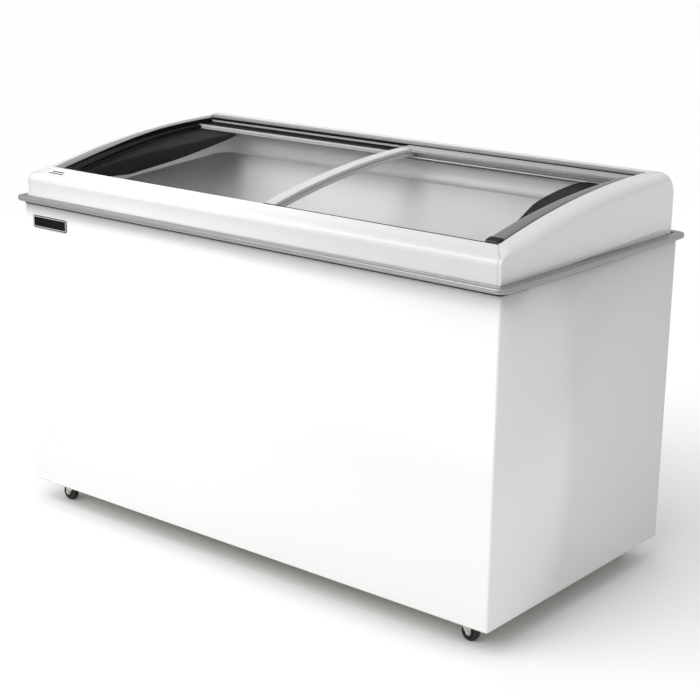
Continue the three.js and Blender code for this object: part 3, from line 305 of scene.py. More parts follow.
class Shader:
    """One material and its Principled node."""

    def __init__(self, name):
        self.material = bpy.data.materials.new(name)
        self.material.use_nodes = True
        self.nodes = self.material.node_tree.nodes
        self.links = self.material.node_tree.links
        self.surface = self.nodes["Principled BSDF"]
        self.place = self.node("TexCoord", {}, {}, "Object")

    def put(self, socket, value):
        """Links a socket to a value, or sets it to a constant."""
        if isinstance(value, Number):
            value = value.socket
        if isinstance(value, bpy.types.NodeSocket):
            self.links.new(value, socket)
        elif socket.type == "RGBA" and len(value) == 3:
            socket.default_value = (*value, 1)
        else:
            socket.default_value = value

    def node(self, kind, settings, inputs, output=0):
        """Adds a node: its settings come first, then the values or links of its sockets."""
        prefix = "Tex" if kind == "Noise" else ""
        made = self.nodes.new("ShaderNode" + prefix + kind)
        for key, value in settings.items():
            setattr(made, key, value)
        for key, value in inputs.items():
            self.put(made.inputs[key], value)
        return made.outputs[output]

    def stretched(self, x, y, z):
        """Object coordinates with each axis scaled, so that a pattern can be drawn out one way."""
        return self.node("Mapping", {}, {"Vector": self.place, "Scale": (x, y, z)})

    def noise(self, scale, detail=2.0, vector=None, rough=0.5):
        """Noise from 0 to 1, at a scale in cells per metre."""
        inputs = {"Vector": vector or self.place, "Scale": scale, "Detail": detail, "Roughness": rough}
        return Number(self, self.node("Noise", {}, inputs, "Fac"))

    def blend(self, factor, first, second):
        """A colour between two colours."""
        settings = {"data_type": "RGBA"}
        return self.node("Mix", settings, {"Factor": factor, 6: first, 7: second}, 2)

    def bump(self, height, depth, strength=1.0):
        """Bends the normal by a height from 0 to 1, depth metres deep."""
        self.set(Normal=self.node("Bump", {}, {"Height": height, "Strength": strength, "Distance": depth}))

    def edges(self, radius):
        """Close to 1 along worn or dirty edges: how far a rounded normal differs from the true one."""
        rounded = self.node("Bevel", {"samples": 4}, {"Radius": radius})
        plain = self.node("NewGeometry", {}, {}, "Normal")
        same = self.node("VectorMath", {"operation": "DOT_PRODUCT"}, {0: rounded, 1: plain}, "Value")
        return ((1 - Number(self, same)) * 6.0).clamped(0, 1)

    def set(self, **values):
        """Sets or links Principled sockets; an underscore stands for a space."""
        for key, value in values.items():
            self.put(self.surface.inputs[key.replace("_", " ")], value)
        return self


def grey(value):
    """An even grey, warmed by a hair."""
    return (value, value * 0.998, value * 0.992)


def moulded(name, colour, darker, rough, coat=0.0, grain=900, depth=0.03 * MM, specular=0.5):
    """Moulded plastic: faint flow shading, a fine grain and a roughness that wanders a little."""
    shader = Shader(name)
    flow = shader.noise(3.1, 3)
    fine = shader.noise(grain, 2)
    cloud = shader.noise(14, 4)
    shader.set(
        Base_Color=shader.blend((flow * 0.7 + cloud * 0.3).clamped(0, 1), colour, darker),
        Roughness=rough * 0.85 + cloud * (rough * 0.3),
        Coat_Weight=coat,
        Coat_Roughness=0.08,
        Specular_IOR_Level=specular,
    )
    shader.bump(fine, depth, 0.35)
    return shader.material


def enamelled_sheet():
    """White stoved paint on sheet steel: orange peel, and faint scuffs that gather near the floor."""
    shader = Shader("white_enamel")
    peel = shader.noise(260, 2)
    cloud = shader.noise(5, 4)
    scuff = shader.noise(1.0, 5, shader.stretched(18, 18, 90), 0.7)
    height = shader.node("SeparateXYZ", {}, {0: shader.place}, "Z")
    near_floor = (1 - Number(shader, height) * 4.5).clamped(0, 1)
    dirt = (((scuff - 0.58) * 2.5).clamped(0, 1) * near_floor * 0.10 + cloud * 0.05).clamped(0, 1)
    shader.set(
        Base_Color=shader.blend(dirt, grey(0.78), grey(0.57)),
        Roughness=0.24 + cloud * 0.08 + dirt * 0.5,
        Coat_Weight=0.25,
        Coat_Roughness=0.12,
    )
    shader.bump(peel, 0.06 * MM, 0.3)
    return shader.material


def satin_metal(name, colour, darker, rough, stretch, metallic=1.0):
    """Satin metal: fine drawn lines along the length, and edges polished by use."""
    shader = Shader(name)
    lines = shader.noise(1.0, 3, shader.stretched(*stretch))
    cloud = shader.noise(24, 3)
    worn = shader.edges(0.8 * MM)
    shader.set(
        Base_Color=shader.blend((lines * 0.6 + cloud * 0.4 - worn * 0.3).clamped(0, 1), colour, darker),
        Roughness=rough + lines * 0.16 - worn * 0.08,
        Metallic=metallic,
    )
    shader.bump(lines, 0.02 * MM, 0.3)
    return shader.material


def clear_glass():
    """Clear tempered glass as a thin pane: seen straight through, with a faint sheen that grows as
    facing^4 at a slant, on faces that are seen from outside the pane only."""
    shader = Shader("lid_glass")
    slant = Number(shader, shader.node("LayerWeight", {}, {"Blend": 0.5}, "Facing"))
    behind = Number(shader, shader.node("NewGeometry", {}, {}, "Backfacing"))
    smear = shader.noise(9, 4)
    clear = shader.node("BsdfTransparent", {}, {"Color": (0.99, 0.992, 0.991)})
    shader.set(
        Base_Color=shader.blend(smear, (0.75, 0.8, 0.79), (0.7, 0.75, 0.74)),
        Roughness=0.03 + smear * 0.03,
        Metallic=1.0,
    )
    factor = ((slant**4) * 0.05 + smear * 0.004 + 0.002) * (1 - behind)
    mixed = shader.node("MixShader", {}, {0: factor, 1: clear, 2: shader.surface.outputs[0]})
    shader.links.new(mixed, shader.nodes["Material Output"].inputs["Surface"])
    return shader.material


def rubber(name):
    """Black rubber: a matt skin with fine pits and dust on it."""
    shader = Shader(name)
    dust = shader.noise(70, 5)
    shader.set(
        Base_Color=shader.blend((dust - 0.35).clamped(0, 1), grey(0.012), grey(0.05)),
        Roughness=0.62 + dust * 0.25,
    )
    shader.bump(shader.noise(1500, 2), 0.05 * MM, 0.5)
    return shader.material


def foamed_core():
    """Rigid foam: cream cells with darker pores."""
    shader = Shader("foamed_core")
    cells = shader.noise(420, 3)
    shader.set(Base_Color=shader.blend(cells, (0.80, 0.70, 0.42), (0.66, 0.55, 0.30)), Roughness=0.9)
    shader.bump(cells, 0.4 * MM, 0.6)
    return shader.material


ENAMEL = enamelled_sheet()
WHITE = moulded("white_moulding", grey(0.66), grey(0.62), 0.2, coat=0.35)
COLLAR = moulded("collar_moulding", grey(0.95), grey(0.92), 0.4)
# The tank's sheet is a darker grey than the white collar: painted shade for the inside of the tank.
SHADED_LINER = moulded("tank_sheet_painted_shade", grey(0.56), grey(0.52), 0.5, grain=500)
LIGHT_GREY = moulded("lid_bar_grey", grey(0.50), grey(0.45), 0.36)
MID_GREY = moulded("lid_rail_grey", grey(0.30), grey(0.26), 0.36)
# The strip's grey is partly painted shade on the rear wall of the opening.
SHADED_STRIP_GREY = moulded("sill_strip_grey_and_shade", grey(0.22), grey(0.18), 0.34)
GRIP_GREY = moulded("grip_grey", grey(0.17), grey(0.13), 0.3)
BLACK = moulded("black_moulding", grey(0.004), grey(0.007), 0.55, specular=0.05)
PALE = moulded("pale_moulding", grey(0.62), grey(0.55), 0.45)
RAIL = satin_metal("rail_aluminium", grey(0.40), grey(0.31), 0.3, (12, 12, 2500))
SILVER = satin_metal("bright_aluminium", grey(0.75), grey(0.62), 0.22, (12, 12, 2500))
ZINC = satin_metal("zinc_plate", (0.62, 0.62, 0.58), (0.48, 0.47, 0.42), 0.32, (160, 160, 160))
COPPER = satin_metal("copper_tube", (0.72, 0.36, 0.2), (0.5, 0.24, 0.14), 0.3, (300, 300, 300))
ENAMEL_BLACK = satin_metal("black_enamel", grey(0.015), grey(0.03), 0.34, (60, 60, 60), metallic=0.0)
GLASS = clear_glass()
RUBBER = rubber("black_rubber")
TYRE = rubber("tyre_rubber")
FOAM = foamed_core()


# ---------------------------------------------------------------- cabinet
def wall_with_hole(axis, place, u0, u1, v0, v1, hole):
    """A flat sheet across an axis, as a grid of lines through the corners of its hole."""
    hu0, hu1, hv0, hv1 = hole
    u = np.array([u0, hu0, hu1, u1])
    v = np.array([v0, hv0, hv1, v1])
    uu, vv = np.meshgrid(u, v, indexing="ij")
    fixed = np.full_like(uu, place)
    order = {"x": (fixed, uu, vv), "y": (uu, fixed, vv)}[axis]
    points, faces = sheet(np.stack(order, -1))
    del faces[4]  # the middle one of nine is the hole
    return points, faces


def cabinet_shell():
    """The wrapped sheet: down the left, across the front and back along the right, with round bends.
    Its foot turns in as a hem: a quarter circle, then flat."""
    bend = SHEET_BEND
    half_x, half_y = HALF_WIDTH, HALF_DEPTH
    corner = lambda sx, a: arc((sx * (half_x - bend), -half_y + bend), bend, a, a + 90, 9)
    plan = np.vstack([[[-half_x, 0]], corner(-1, 180), corner(1, 270), [[half_x, half_y - 2 * MM]]])
    tangent = np.gradient(plan, axis=0)
    tangent /= np.linalg.norm(tangent, axis=1)[:, None]
    inward = np.stack([-tangent[:, 1], tangent[:, 0]], -1)
    hem_bend = 3 * MM
    hem = arc((hem_bend, BODY_FOOT + hem_bend), hem_bend, 180, 270, 6)
    profile = np.vstack([[[0, BODY_TOP]], hem, [[14 * MM, BODY_FOOT]]])
    flat = plan[:, None] + profile[None, :, :1] * inward[:, None]
    rise = np.broadcast_to(profile[None, :, 1:], (*flat.shape[:2], 1))
    grille_low, grille_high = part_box("side_grille")
    rim = 12 * MM
    hole = (grille_low.y + rim, grille_high.y - rim, grille_low.z + rim, grille_high.z - rim)
    front, rear = -half_y + bend, half_y - 2 * MM
    left = wall_with_hole("x", -half_x, front, rear, BODY_FOOT + hem_bend, BODY_TOP, hole)
    wrap = np.concatenate([flat, rise], -1)[1:]
    return joined(sheet(wrap), left)


def rear_sheet():
    """The flat rear sheet with the opening behind its grille."""
    low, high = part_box("rear_panel")
    grille_low, grille_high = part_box("rear_grille")
    rim = 12 * MM
    hole = (grille_low.x + rim, grille_high.x - rim, grille_low.z + rim, grille_high.z - rim)
    return wall_with_hole("y", high.y, low.x, high.x, low.z, high.z, hole)


def rear_screws():
    """Domed screw heads down both edges of the rear sheet."""
    dome = [(0, 1.6 * MM), (1.6 * MM, 1.5 * MM), (3.1 * MM, 0.9 * MM), (3.6 * MM, 0), (0, 0)]
    places = [
        (side * (HALF_WIDTH - 14 * MM), HALF_DEPTH, z)
        for side in (-1, 1)
        for z in np.linspace(BODY_FOOT + 40 * MM, BODY_TOP - 40 * MM, 5)
    ]
    return joined(*[turn(dome, "y", place, 20) for place in places])


def louvre(node, axis, outward):
    """A grille: a rounded rim, and slats that lean outwards and down, each a rounded strip."""
    low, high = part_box(node)
    rim = 12 * MM
    slats = 12
    across = "y" if axis == "x" else "x"
    u0, u1 = (low.y, high.y) if axis == "x" else (low.x, high.x)
    face = (high.x if outward < 0 else low.x) if axis == "x" else low.y
    thick = abs((high - low)[0 if axis == "x" else 1])
    centre = ((u0 + u1) / 2, (low.z + high.z) / 2)
    outer = rounded_outline((u1 - u0) / 2, (high.z - low.z) / 2, 8 * MM) + centre
    inner = rounded_outline((u1 - u0) / 2 - rim, (high.z - low.z) / 2 - rim, 3 * MM) + centre
    side = np.array([0, 1]) * thick * outward
    rings = []
    back, front = side
    rim_steps = [(outer, back), (outer, front * 0.75), (outer, front), (inner, front), (inner, back)]
    for outline, lift in rim_steps:
        shrink = 1.5 * MM if lift == front and outline is outer else 0
        loop = outline - np.sign(outline - centre) * shrink
        fixed = np.full((len(loop), 1), face + lift)
        columns = [fixed, loop] if axis == "x" else [loop[:, :1], fixed, loop[:, 1:]]
        rings.append(np.hstack(columns))
    rings.append(rings[0])
    frame_form = sheet(np.array(rings), closed=True)
    pitch = (high.z - low.z - 2 * rim) / slats
    lean = rounded_outline(0.5 * thick, 0.42 * pitch, 0.8 * MM, 4)
    forms = [frame_form]
    for i in range(slats):
        z = low.z + rim + pitch * (i + 0.5)
        tilted = lean.copy()
        tilted[:, 0] = np.clip(tilted[:, 0] * 0.45, -thick / 2, thick / 2)
        tilted[:, 0] += -outward * (lean[:, 1] / pitch) * thick * 0.6
        tilted += (face + front / 2, z)
        forms.append(slab(tilted, across, u0 + rim - 1 * MM, u1 - rim + 1 * MM))
    return joined(*forms)


def bumper():
    """The rail: a nosed section with a groove and a lip, carried round the cabinet in one loop."""
    out = RAIL_HIGH.x
    reach = out - HALF_WIDTH
    top = RAIL_HIGH.z
    foot = FRAME_FOOT
    tall = top - foot
    nose = 3.2 * MM
    section = np.vstack(
        [
            [[-3 * MM, foot], [reach - nose, foot]],
            arc((reach - nose, foot + nose), nose, -80, 0, 6),
            [[reach, foot + 0.42 * tall]],
            arc((reach, foot + 0.5 * tall), 0.8 * MM, 270, 90, 5),
            [[reach, foot + 0.58 * tall]],
            arc((reach - nose, top - nose), nose, 0, 85, 6),
            [[5.5 * MM, top], [5 * MM, top - 1 * MM], [3.5 * MM, top - 1 * MM]],
            [[3 * MM, top], [-3 * MM, top]],
        ]
    )
    corner = 24 * MM
    steps = 14
    plan = rounded_outline(HALF_WIDTH + reach, HALF_DEPTH + reach, corner, steps)
    inner = rounded_outline(HALF_WIDTH, HALF_DEPTH, max(corner - reach, 5 * MM), steps)
    path = np.hstack([inner, np.zeros((len(inner), 1))])
    across = np.hstack([(plan - inner) / reach, np.zeros((len(plan), 1))])
    return carry(path, across, (0, 0, 1), section, loop=True)


def bumper_shadow_skirt():
    """The thin skirt under the rail, close against the cabinet; made black, it paints the shadow that the
    rail casts on the cabinet below it.
    """
    gap = 0.3 * MM
    thick = 1.4 * MM
    section = [(gap, RAIL_LOW.z), (gap + thick, RAIL_LOW.z), (gap + thick, FRAME_FOOT), (gap, FRAME_FOOT)]
    inner = rounded_outline(HALF_WIDTH, HALF_DEPTH, SHEET_BEND, 8)
    outer = rounded_outline(HALF_WIDTH + MM, HALF_DEPTH + MM, SHEET_BEND + MM, 8)
    path = np.hstack([inner, np.zeros((len(inner), 1))])
    across = np.hstack([(outer - inner) / MM, np.zeros((len(outer), 1))])
    return carry(path, across, (0, 0, 1), section, loop=True)


def badge_plate(low, high):
    """A rounded plate over the badge's box, from one distance off the front to another."""
    lo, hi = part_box("front_badge")
    centre = ((lo.x + hi.x) / 2, (lo.z + hi.z) / 2)
    outline = rounded_outline((hi.x - lo.x) / 2, (hi.z - lo.z) / 2, 4 * MM) + centre
    return slab(outline, "y", -HALF_DEPTH - high, -HALF_DEPTH - low)


def badge_border():
    """A raised line round the badge: the gap between two rounded outlines."""
    lo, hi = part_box("front_badge")
    centre = ((lo.x + hi.x) / 2, (lo.z + hi.z) / 2)
    half = ((hi.x - lo.x) / 2, (hi.z - lo.z) / 2)
    rings = []
    for inset, out in ((1.6, 1.4), (1.8, 2.0), (3.2, 2.0), (3.4, 1.4), (1.6, 1.4)):
        corner = 4 * MM - inset * MM * 0.6
        loop = rounded_outline(half[0] - inset * MM, half[1] - inset * MM, corner) + centre
        rings.append(np.stack([loop[:, 0], np.full(len(loop), -HALF_DEPTH - out * MM), loop[:, 1]], -1))
    return sheet(np.array(rings), closed=True)


# ---------------------------------------------------------------- top frame
def frame_outline():
    """The top frame from the side, as (y, z): foot, hollowed face, lip, crown, round corner, foot."""
    face = np.array(
        [
            (0, 0.3), (0, 12), (1.8, 20), (2.6, 30), (1.6, 40), (0.6, 47),
            (2.4, 54), (8, 58.5), (16, 61.5), (27, 65), (38, 69.6),
        ]
    ) * MM
    front = smooth_path(face + (-FRAME_Y, BODY_TOP), 6)
    crown_y = np.linspace(OPENING_FRONT, FRAME_Y - REAR_CORNER, 70)[:-1]
    crown = np.stack([crown_y, crown_height(crown_y)], -1)
    corner = arc((FRAME_Y - REAR_CORNER, CROWN_Z - REAR_CORNER), REAR_CORNER, 90, 0, 14)
    rear = [[FRAME_Y, z] for z in np.linspace(CROWN_Z - REAR_CORNER, FRAME_FOOT, 8)[1:]]
    return np.vstack([front, crown, corner, rear])


OUTLINE = frame_outline()
FACE_END = int(np.searchsorted(OUTLINE[:, 0] >= OPENING_FRONT, True))
REAR_START = int(np.argmax(OUTLINE[:, 0] >= OPENING_REAR))


def inward_of(outline):
    """Unit vectors to the right of the way along an outline, which point into the frame."""
    along = np.gradient(outline, axis=0)
    along /= np.linalg.norm(along, axis=1)[:, None]
    return np.stack([along[:, 1], -along[:, 0]], -1)


def edge_radius(outline):
    """Radius of the frame's outer top edge: tight at the front corner, wide over the crown, less behind."""
    y = outline[:, 0]
    opened = smoothstep(y, -FRAME_Y + 4 * MM, OPENING_FRONT + 20 * MM)
    narrowed = smoothstep(y, 0, FRAME_Y - REAR_CORNER)
    return 3 * MM + opened * (19 * MM - narrowed * 4 * MM)


def seam_x(outline):
    """Where the end cap meets the sills: the opening's side, or the mitre that leads to the corner."""
    y = outline[:, 0]
    width = FRAME_X - OPENING_X
    front = (OPENING_FRONT - y) * width / (FRAME_Y + OPENING_FRONT)
    rear = (y - OPENING_REAR) * width / (FRAME_Y - OPENING_REAR)
    mitre = OPENING_X + np.maximum(0, np.maximum(front, rear))
    return np.minimum(mitre, FRAME_X - edge_radius(outline) - 3.5 * MM)


def end_cap(side):
    """An end of the frame. Across it go a flange, a small round, a top that falls outwards at a slope,
    and the outer arc; each is as deep below the outline as its curve says. The side face closes it."""
    inward = inward_of(OUTLINE)[:, None, :]
    radius = edge_radius(OUTLINE)[:, None]
    y, z = OUTLINE[:, :1], OUTLINE[:, 1:]
    free = smoothstep(y, OPENING_FRONT - 2 * MM, OPENING_FRONT + 8 * MM)
    free = free * (1 - smoothstep(y, OPENING_REAR - 8 * MM, OPENING_REAR + 2 * MM))
    start = seam_x(OUTLINE)[:, None] + 0.2 * MM * free
    small = 0.02 * MM + 2 * MM * free
    flange = 4 * MM + 42 * MM * free
    upper = smoothstep(y, OPENING_FRONT - 30 * MM, OPENING_FRONT + 40 * MM)
    by_corner = smoothstep(z, CROWN_Z - 1.2 * REAR_CORNER, CROWN_Z - 0.5 * REAR_CORNER)
    upper = upper * np.where(y > 0, by_corner, 1)
    slope = np.radians(CAP_SLOPE) * upper
    quarter = np.radians(np.linspace(0, 90, 6))[None, :]
    outer = slope + (np.radians(90) - slope) * np.linspace(0, 1, 13)[None, :]
    across = FRAME_X - radius + radius * np.sin(outer)
    fall = (across[:, :1] - start) * np.tan(slope)
    x = np.hstack([start, start + small * (1 - np.cos(quarter)), across])
    arc_depth = fall + radius * (np.cos(slope) - np.cos(outer))
    depth = np.hstack([flange, small * (1 - np.sin(quarter)), arc_depth])
    place = OUTLINE[:, None, :] + depth[..., None] * inward
    points, faces = sheet(np.concatenate([side * x[..., None], place], -1))
    columns = x.shape[1]
    rim = list(range(columns - 1, len(points), columns))
    return points, faces + [rim[::-1]]


def sill_columns(outline):
    """Places along x from seam to seam: close together by the ends, where the mitre bends them."""
    spread = np.sin(np.linspace(-90, 90, 25) * math.pi / 180)
    return seam_x(outline)[:, None] * spread[None, :]


def front_sill():
    """The front of the frame, from foot to lip and down inside, carried between the two mitres."""
    lip = 2.5 * MM
    outline = OUTLINE[:FACE_END]
    top = crown_height(OPENING_FRONT) - 0.6 * MM
    turned_lip = arc((OPENING_FRONT - lip, top - lip), lip, 80, 0, 5)
    inner = [[OPENING_FRONT, BODY_TOP + 60 * MM], [OPENING_FRONT, BODY_TOP + 52 * MM]]
    outline = np.vstack([outline, turned_lip, inner])
    x = sill_columns(outline)
    place = np.broadcast_to(outline[:, None, :], (*x.shape, 2))
    return sheet(np.concatenate([x[..., None], place], -1))


def rear_sill():
    """The rear of the frame: from the grey strip over the crown's end and the round corner, then down."""
    start = OPENING_REAR + SILL_STRIP + 0.3 * MM
    top = crown_height(start)
    rising = [[start, top - 6 * MM], [start, top - 1.2 * MM], [start + 0.3 * MM, top - 0.3 * MM]]
    behind = OUTLINE[REAR_START:]
    behind = behind[behind[:, 0] > start + 1 * MM]
    outline = np.vstack([rising, behind])
    x = sill_columns(outline)
    place = np.broadcast_to(outline[:, None, :], (*x.shape, 2))
    return sheet(np.concatenate([x[..., None], place], -1))


def sill_strip():
    """The grey strip that edges the rear of the opening: up its wall, over a round lip, and back. Its dark
    grey is partly the strip's own colour and partly painted shade on the frame's inner wall.
    """
    lip = 3 * MM
    start, end = OPENING_REAR, OPENING_REAR + SILL_STRIP
    top = crown_height(start)
    wall = [[start, top - 38 * MM], [start, top - 7 * MM]]
    turned_lip = arc((start + lip, top - lip), lip, 180, 90, 6)
    flat = [[y, crown_height(y)] for y in np.linspace(start + 2 * lip, end, 4)]
    under = [[end, top - 3 * MM], [start + 2 * MM, top - 5 * MM], [start + 2 * MM, top - 38 * MM]]
    return slab(np.vstack([wall, turned_lip, flat, under]), "x", -OPENING_X + MM, OPENING_X - MM)


LENS_EDGE = smooth_path(
    [
        (0, 0.17), (0.04, 0.29), (0.1, 0.385), (0.19, 0.5), (0.28, 0.57), (0.36, 0.65), (0.45, 0.75),
        (0.53, 0.84), (0.61, 0.9), (0.7, 0.94), (0.81, 0.98), (0.92, 1), (0.97, 0.98), (1, 0.92),
    ],
    6,
)


def lens_reach(y):
    """How far the black trim bulges in from the end of the opening, by its share of the length."""
    share = (np.asarray(y) - LENS_FROM) / (LENS_TO - LENS_FROM)
    reach = np.interp(share, LENS_EDGE[:, 0], LENS_EDGE[:, 1], left=0, right=0)
    return LENS_REACH * reach


def lens_foot(y):
    """Height of the skirt's foot: level in front, then a line that rises to the shelf at the rear."""
    bend = LENS_FROM + LENS_FOOT_BEND * (LENS_TO - LENS_FROM)
    low = crown_height(bend, LENS_BOTTOM)
    high = crown_height(LENS_TO, LENS_TOP + 5 * MM)
    return low + (high - low) * np.clip((np.asarray(y) - bend) / (LENS_TO - bend), 0, 1)


def end_trim(side):
    """Black trim: down the end wall, out as a shelf under the lid, and down as a skirt to its foot.
    Across it, rounded bends join the three; at the rear the skirt turns back to the wall."""
    body = np.linspace(LENS_FROM, LENS_TO - 4 * MM, 76)
    corner = np.linspace(0, 1, 7)
    y = np.concatenate(
        [
            np.linspace(OPENING_FRONT + 12 * MM, LENS_FROM - 1 * MM, 5),
            body,
            LENS_TO - 4 * MM + 4 * MM * np.sin(corner * math.pi / 2),
            [LENS_TO, LENS_TO],
            np.linspace(LENS_TO + 1 * MM, OPENING_REAR - 4 * MM, 5),
        ]
    )[:, None]
    turned = lens_reach(LENS_TO) - 4 * MM * (1 - np.cos(corner * math.pi / 2))
    ends = np.zeros(5)
    reach = np.concatenate([ends, lens_reach(body), turned, [0.3 * turned[-1], 0], ends])[:, None]
    hollow = np.minimum(8 * MM, 0.45 * reach)
    nose = np.minimum(6 * MM, 0.45 * reach)
    bend = np.radians(np.linspace(0, 90, 7))[None, :]
    inward = np.hstack(
        [0 * y, 0 * y, hollow * (1 - np.cos(bend)), reach - nose + nose * np.sin(bend), reach, reach]
    )
    edge = UPPER_DROP + 1 * MM + 7 * MM * (1 - smoothstep(y, -200 * MM, 80 * MM))
    shelf = crown_height(y, LENS_TOP)
    foot = np.minimum(lens_foot(y), shelf - nose - 1 * MM)
    z = np.hstack(
        [
            crown_height(y, edge),
            crown_height(y, edge + 3 * MM),
            shelf + hollow * (1 - np.sin(bend)),
            shelf - nose * (1 - np.cos(bend)),
            0.5 * (shelf - nose + foot),
            foot,
        ]
    )
    x = side * (OPENING_X - TRIM_PLATE - inward)
    yy = np.broadcast_to(y, x.shape)
    return sheet(np.stack([x, yy, z], -1))


# ---------------------------------------------------------------- tank
def rim_height(y):
    """The foot of the collar rises in a straight line from front to rear."""
    return BODY_TOP + RIM_RISE + RIM_SLOPE * (np.asarray(y) + TANK_Y) / (2 * TANK_Y)


def collar_height(y):
    """The top of the collar rises from front to rear."""
    return BODY_TOP + COLLAR_RISE + COLLAR_SLOPE * (np.asarray(y) + TANK_Y) / (2 * TANK_Y)


def tank_loop(grow=0.0, x_low=None, steps=14):
    """The plan of the tank as a dense loop, grown by a distance; x_low moves its left end."""
    left = -TANK_X if x_low is None else x_low
    half = (TANK_X - left) / 2
    loop = rounded_outline(half + grow, TANK_Y + grow, TANK_CORNER + grow, steps)
    loop[:, 0] += (TANK_X + left) / 2
    dense = []
    for a, b in zip(loop, np.roll(loop, -1, 0)):
        count = max(1, int(np.linalg.norm(b - a) / (20 * MM)))
        dense.append(a + (b - a) * np.linspace(0, 1, count, endpoint=False)[:, None])
    return np.vstack(dense)


def collar():
    """The liner's collar: up from the rim, over a small round and out. It dips under the black trims."""
    loop = tank_loop()
    outer = tank_loop(10 * MM)
    y = loop[:, 1]
    top = np.minimum(collar_height(y), crown_height(y, LENS_TOP) - 6 * MM)
    low = rim_height(y)
    radius = 2 * MM
    rows = [(0, low), (0, low + 0.3 * (top - low)), (0, top - radius)]
    for angle in np.radians([30, 60, 90]):
        rows.append((radius * (1 - math.cos(angle)), top - radius * (1 - math.sin(angle))))
    rows.append((2.5 * MM, top))
    normal = (outer - loop) / (10 * MM)
    grid = [np.column_stack([loop + normal * out, height]) for out, height in rows]
    return sheet(np.array(grid), closed=True)


def tank():
    """The tank: walls from the rim to the step, a ledge over the compartment, then the deep part,
    whose floor meets its walls in a round."""
    upper = tank_loop()
    deep = tank_loop(x_low=STEP_X)
    walls = sheet(
        np.array(
            [np.column_stack([upper, z + 0 * upper[:, 0]]) for z in (rim_height(upper[:, 1]), STEP_FLOOR)]
        ),
        closed=True,
    )
    fillet = 12 * MM
    rows = [np.column_stack([deep, np.full(len(deep), STEP_FLOOR)])]
    for angle in np.radians(np.linspace(0, 90, 6)):
        inset = fillet * (1 - math.cos(angle))
        loop = deep - (deep - deep.mean(0)) * (inset / np.abs(deep - deep.mean(0)).max(0))
        height = TANK_FLOOR + fillet * (1 - math.sin(angle))
        rows.append(np.column_stack([loop, np.full(len(deep), height)]))
    points, faces = sheet(np.array(rows), closed=True)
    floor = list(range(len(points) - len(deep), len(points)))
    outer = upper[upper[:, 0] < STEP_X + TANK_CORNER]
    order = np.argsort(np.arctan2(outer[:, 1], outer[:, 0] - STEP_X - TANK_CORNER) % (2 * math.pi))
    outer = outer[order]
    inner = deep[deep[:, 0] < STEP_X + TANK_CORNER]
    order = np.argsort(np.arctan2(inner[:, 1], inner[:, 0] - STEP_X - TANK_CORNER) % (2 * math.pi))
    inner = inner[order][::-1]
    ledge = np.vstack([outer, inner])
    ledge = np.column_stack([ledge, np.full(len(ledge), STEP_FLOOR)])
    return joined(walls, (points, faces + [floor]), (ledge, [list(range(len(ledge)))]))


# ---------------------------------------------------------------- lids
def crown_strip(y0, y1, top, bottom, x0, x1, steps=48):
    """A strip that follows the crown from y0 to y1, between two drops, carried from x0 to x1."""
    y = np.linspace(y0, y1, steps)
    upper = np.stack([y, crown_height(y, top)], -1)
    lower = np.stack([y, crown_height(y, bottom)], -1)[::-1]
    return slab(np.vstack([upper, lower]), "x", x0, x1)


def crown_frame(y, drop):
    """Points of the crown's arc at a drop, and the unit vectors that stand on it."""
    path = np.stack([0 * y, y, crown_height(y, drop)], -1)
    up = np.stack([0 * y, y - CROWN_Y, crown_height(y, drop) - CROWN_Z + CROWN_RADIUS], -1)
    return path, up / np.linalg.norm(up, axis=1)[:, None]


def lid_bar(x0, x1, y0, y1, drop):
    """A bar along the crown with a flat, softly rounded top and a shallow groove beside its edge."""
    y = np.linspace(y0, y1, 60)
    path, up = crown_frame(y, drop)
    half = (x1 - x0) / 2
    section = np.vstack(
        [
            [[-half, -LID_RAIL]],
            arc((-half + 2.5 * MM, -2.5 * MM), 2.5 * MM, 180, 95, 6),
            [[half - 8 * MM, 0], [half - 7.2 * MM, -0.7 * MM]],
            [[half - 6 * MM, -0.7 * MM], [half - 5.2 * MM, 0]],
            arc((half - 2.5 * MM, -2.5 * MM), 2.5 * MM, 85, 0, 6),
            [[half, -LID_RAIL]],
        ]
    )
    path[:, 0] = (x0 + x1) / 2
    return carry(path, (1, 0, 0), up, section)


def lid_grip(side, outer, y0, y1, drop, crest):
    """The hand grip: a half-round ridge that is broad at the front and thins towards the rear.
    Its width falls from 30 to 13 mm and its crest above the rail by a third, both by smoothstep."""
    y = np.linspace(y0, y1, 70)
    path, up = crown_frame(y, drop)
    along = smoothstep(y, y0, y1 + 0.3 * (y1 - y0))
    width = (30 - 20 * along) * MM
    crest = crest * (1 - 0.36 * along)
    angle = np.radians(np.linspace(0, 180, 17))
    u = 0.5 * (1 + np.cos(angle))[None, :] * width[:, None]
    v = np.sin(angle)[None, :] ** 0.8 * crest[:, None]
    u = np.hstack([u, u[:, -1:], u[:, :1]])
    v = np.hstack([v, -LID_RAIL + 0 * v[:, :1], -LID_RAIL + 0 * v[:, :1]])
    path[:, 0] = outer
    return carry(path, (-side, 0, 0), up, np.stack([u, v], -1))


def grip_pad(side, outer, y0, drop, sink):
    """The finger pad at the front end of a grip: a low block under a row of cross ribs."""
    ribs = 6
    pitch = 2.4 * MM
    middle = outer - side * 15 * MM
    forms = []
    for i in range(ribs):
        y = np.array([y0 + pitch * i, y0 + pitch * (i + 0.5)])
        path, up = crown_frame(y, drop)
        path[:, 0] = middle
        outline = rounded_outline(14 * MM, 1.4 * MM, 1.2 * MM, 4) + (0, 2.4 * MM - sink)
        forms.append(carry(path, (1, 0, 0), up, outline))
    base_y = np.linspace(y0 - 1 * MM, y0 + pitch * ribs, 6)
    path, up = crown_frame(base_y, drop)
    path[:, 0] = middle
    forms.append(carry(path, (1, 0, 0), up, rounded_outline(15 * MM, 2.6 * MM, 1.5 * MM, 4) - (0, sink)))
    return joined(*forms)


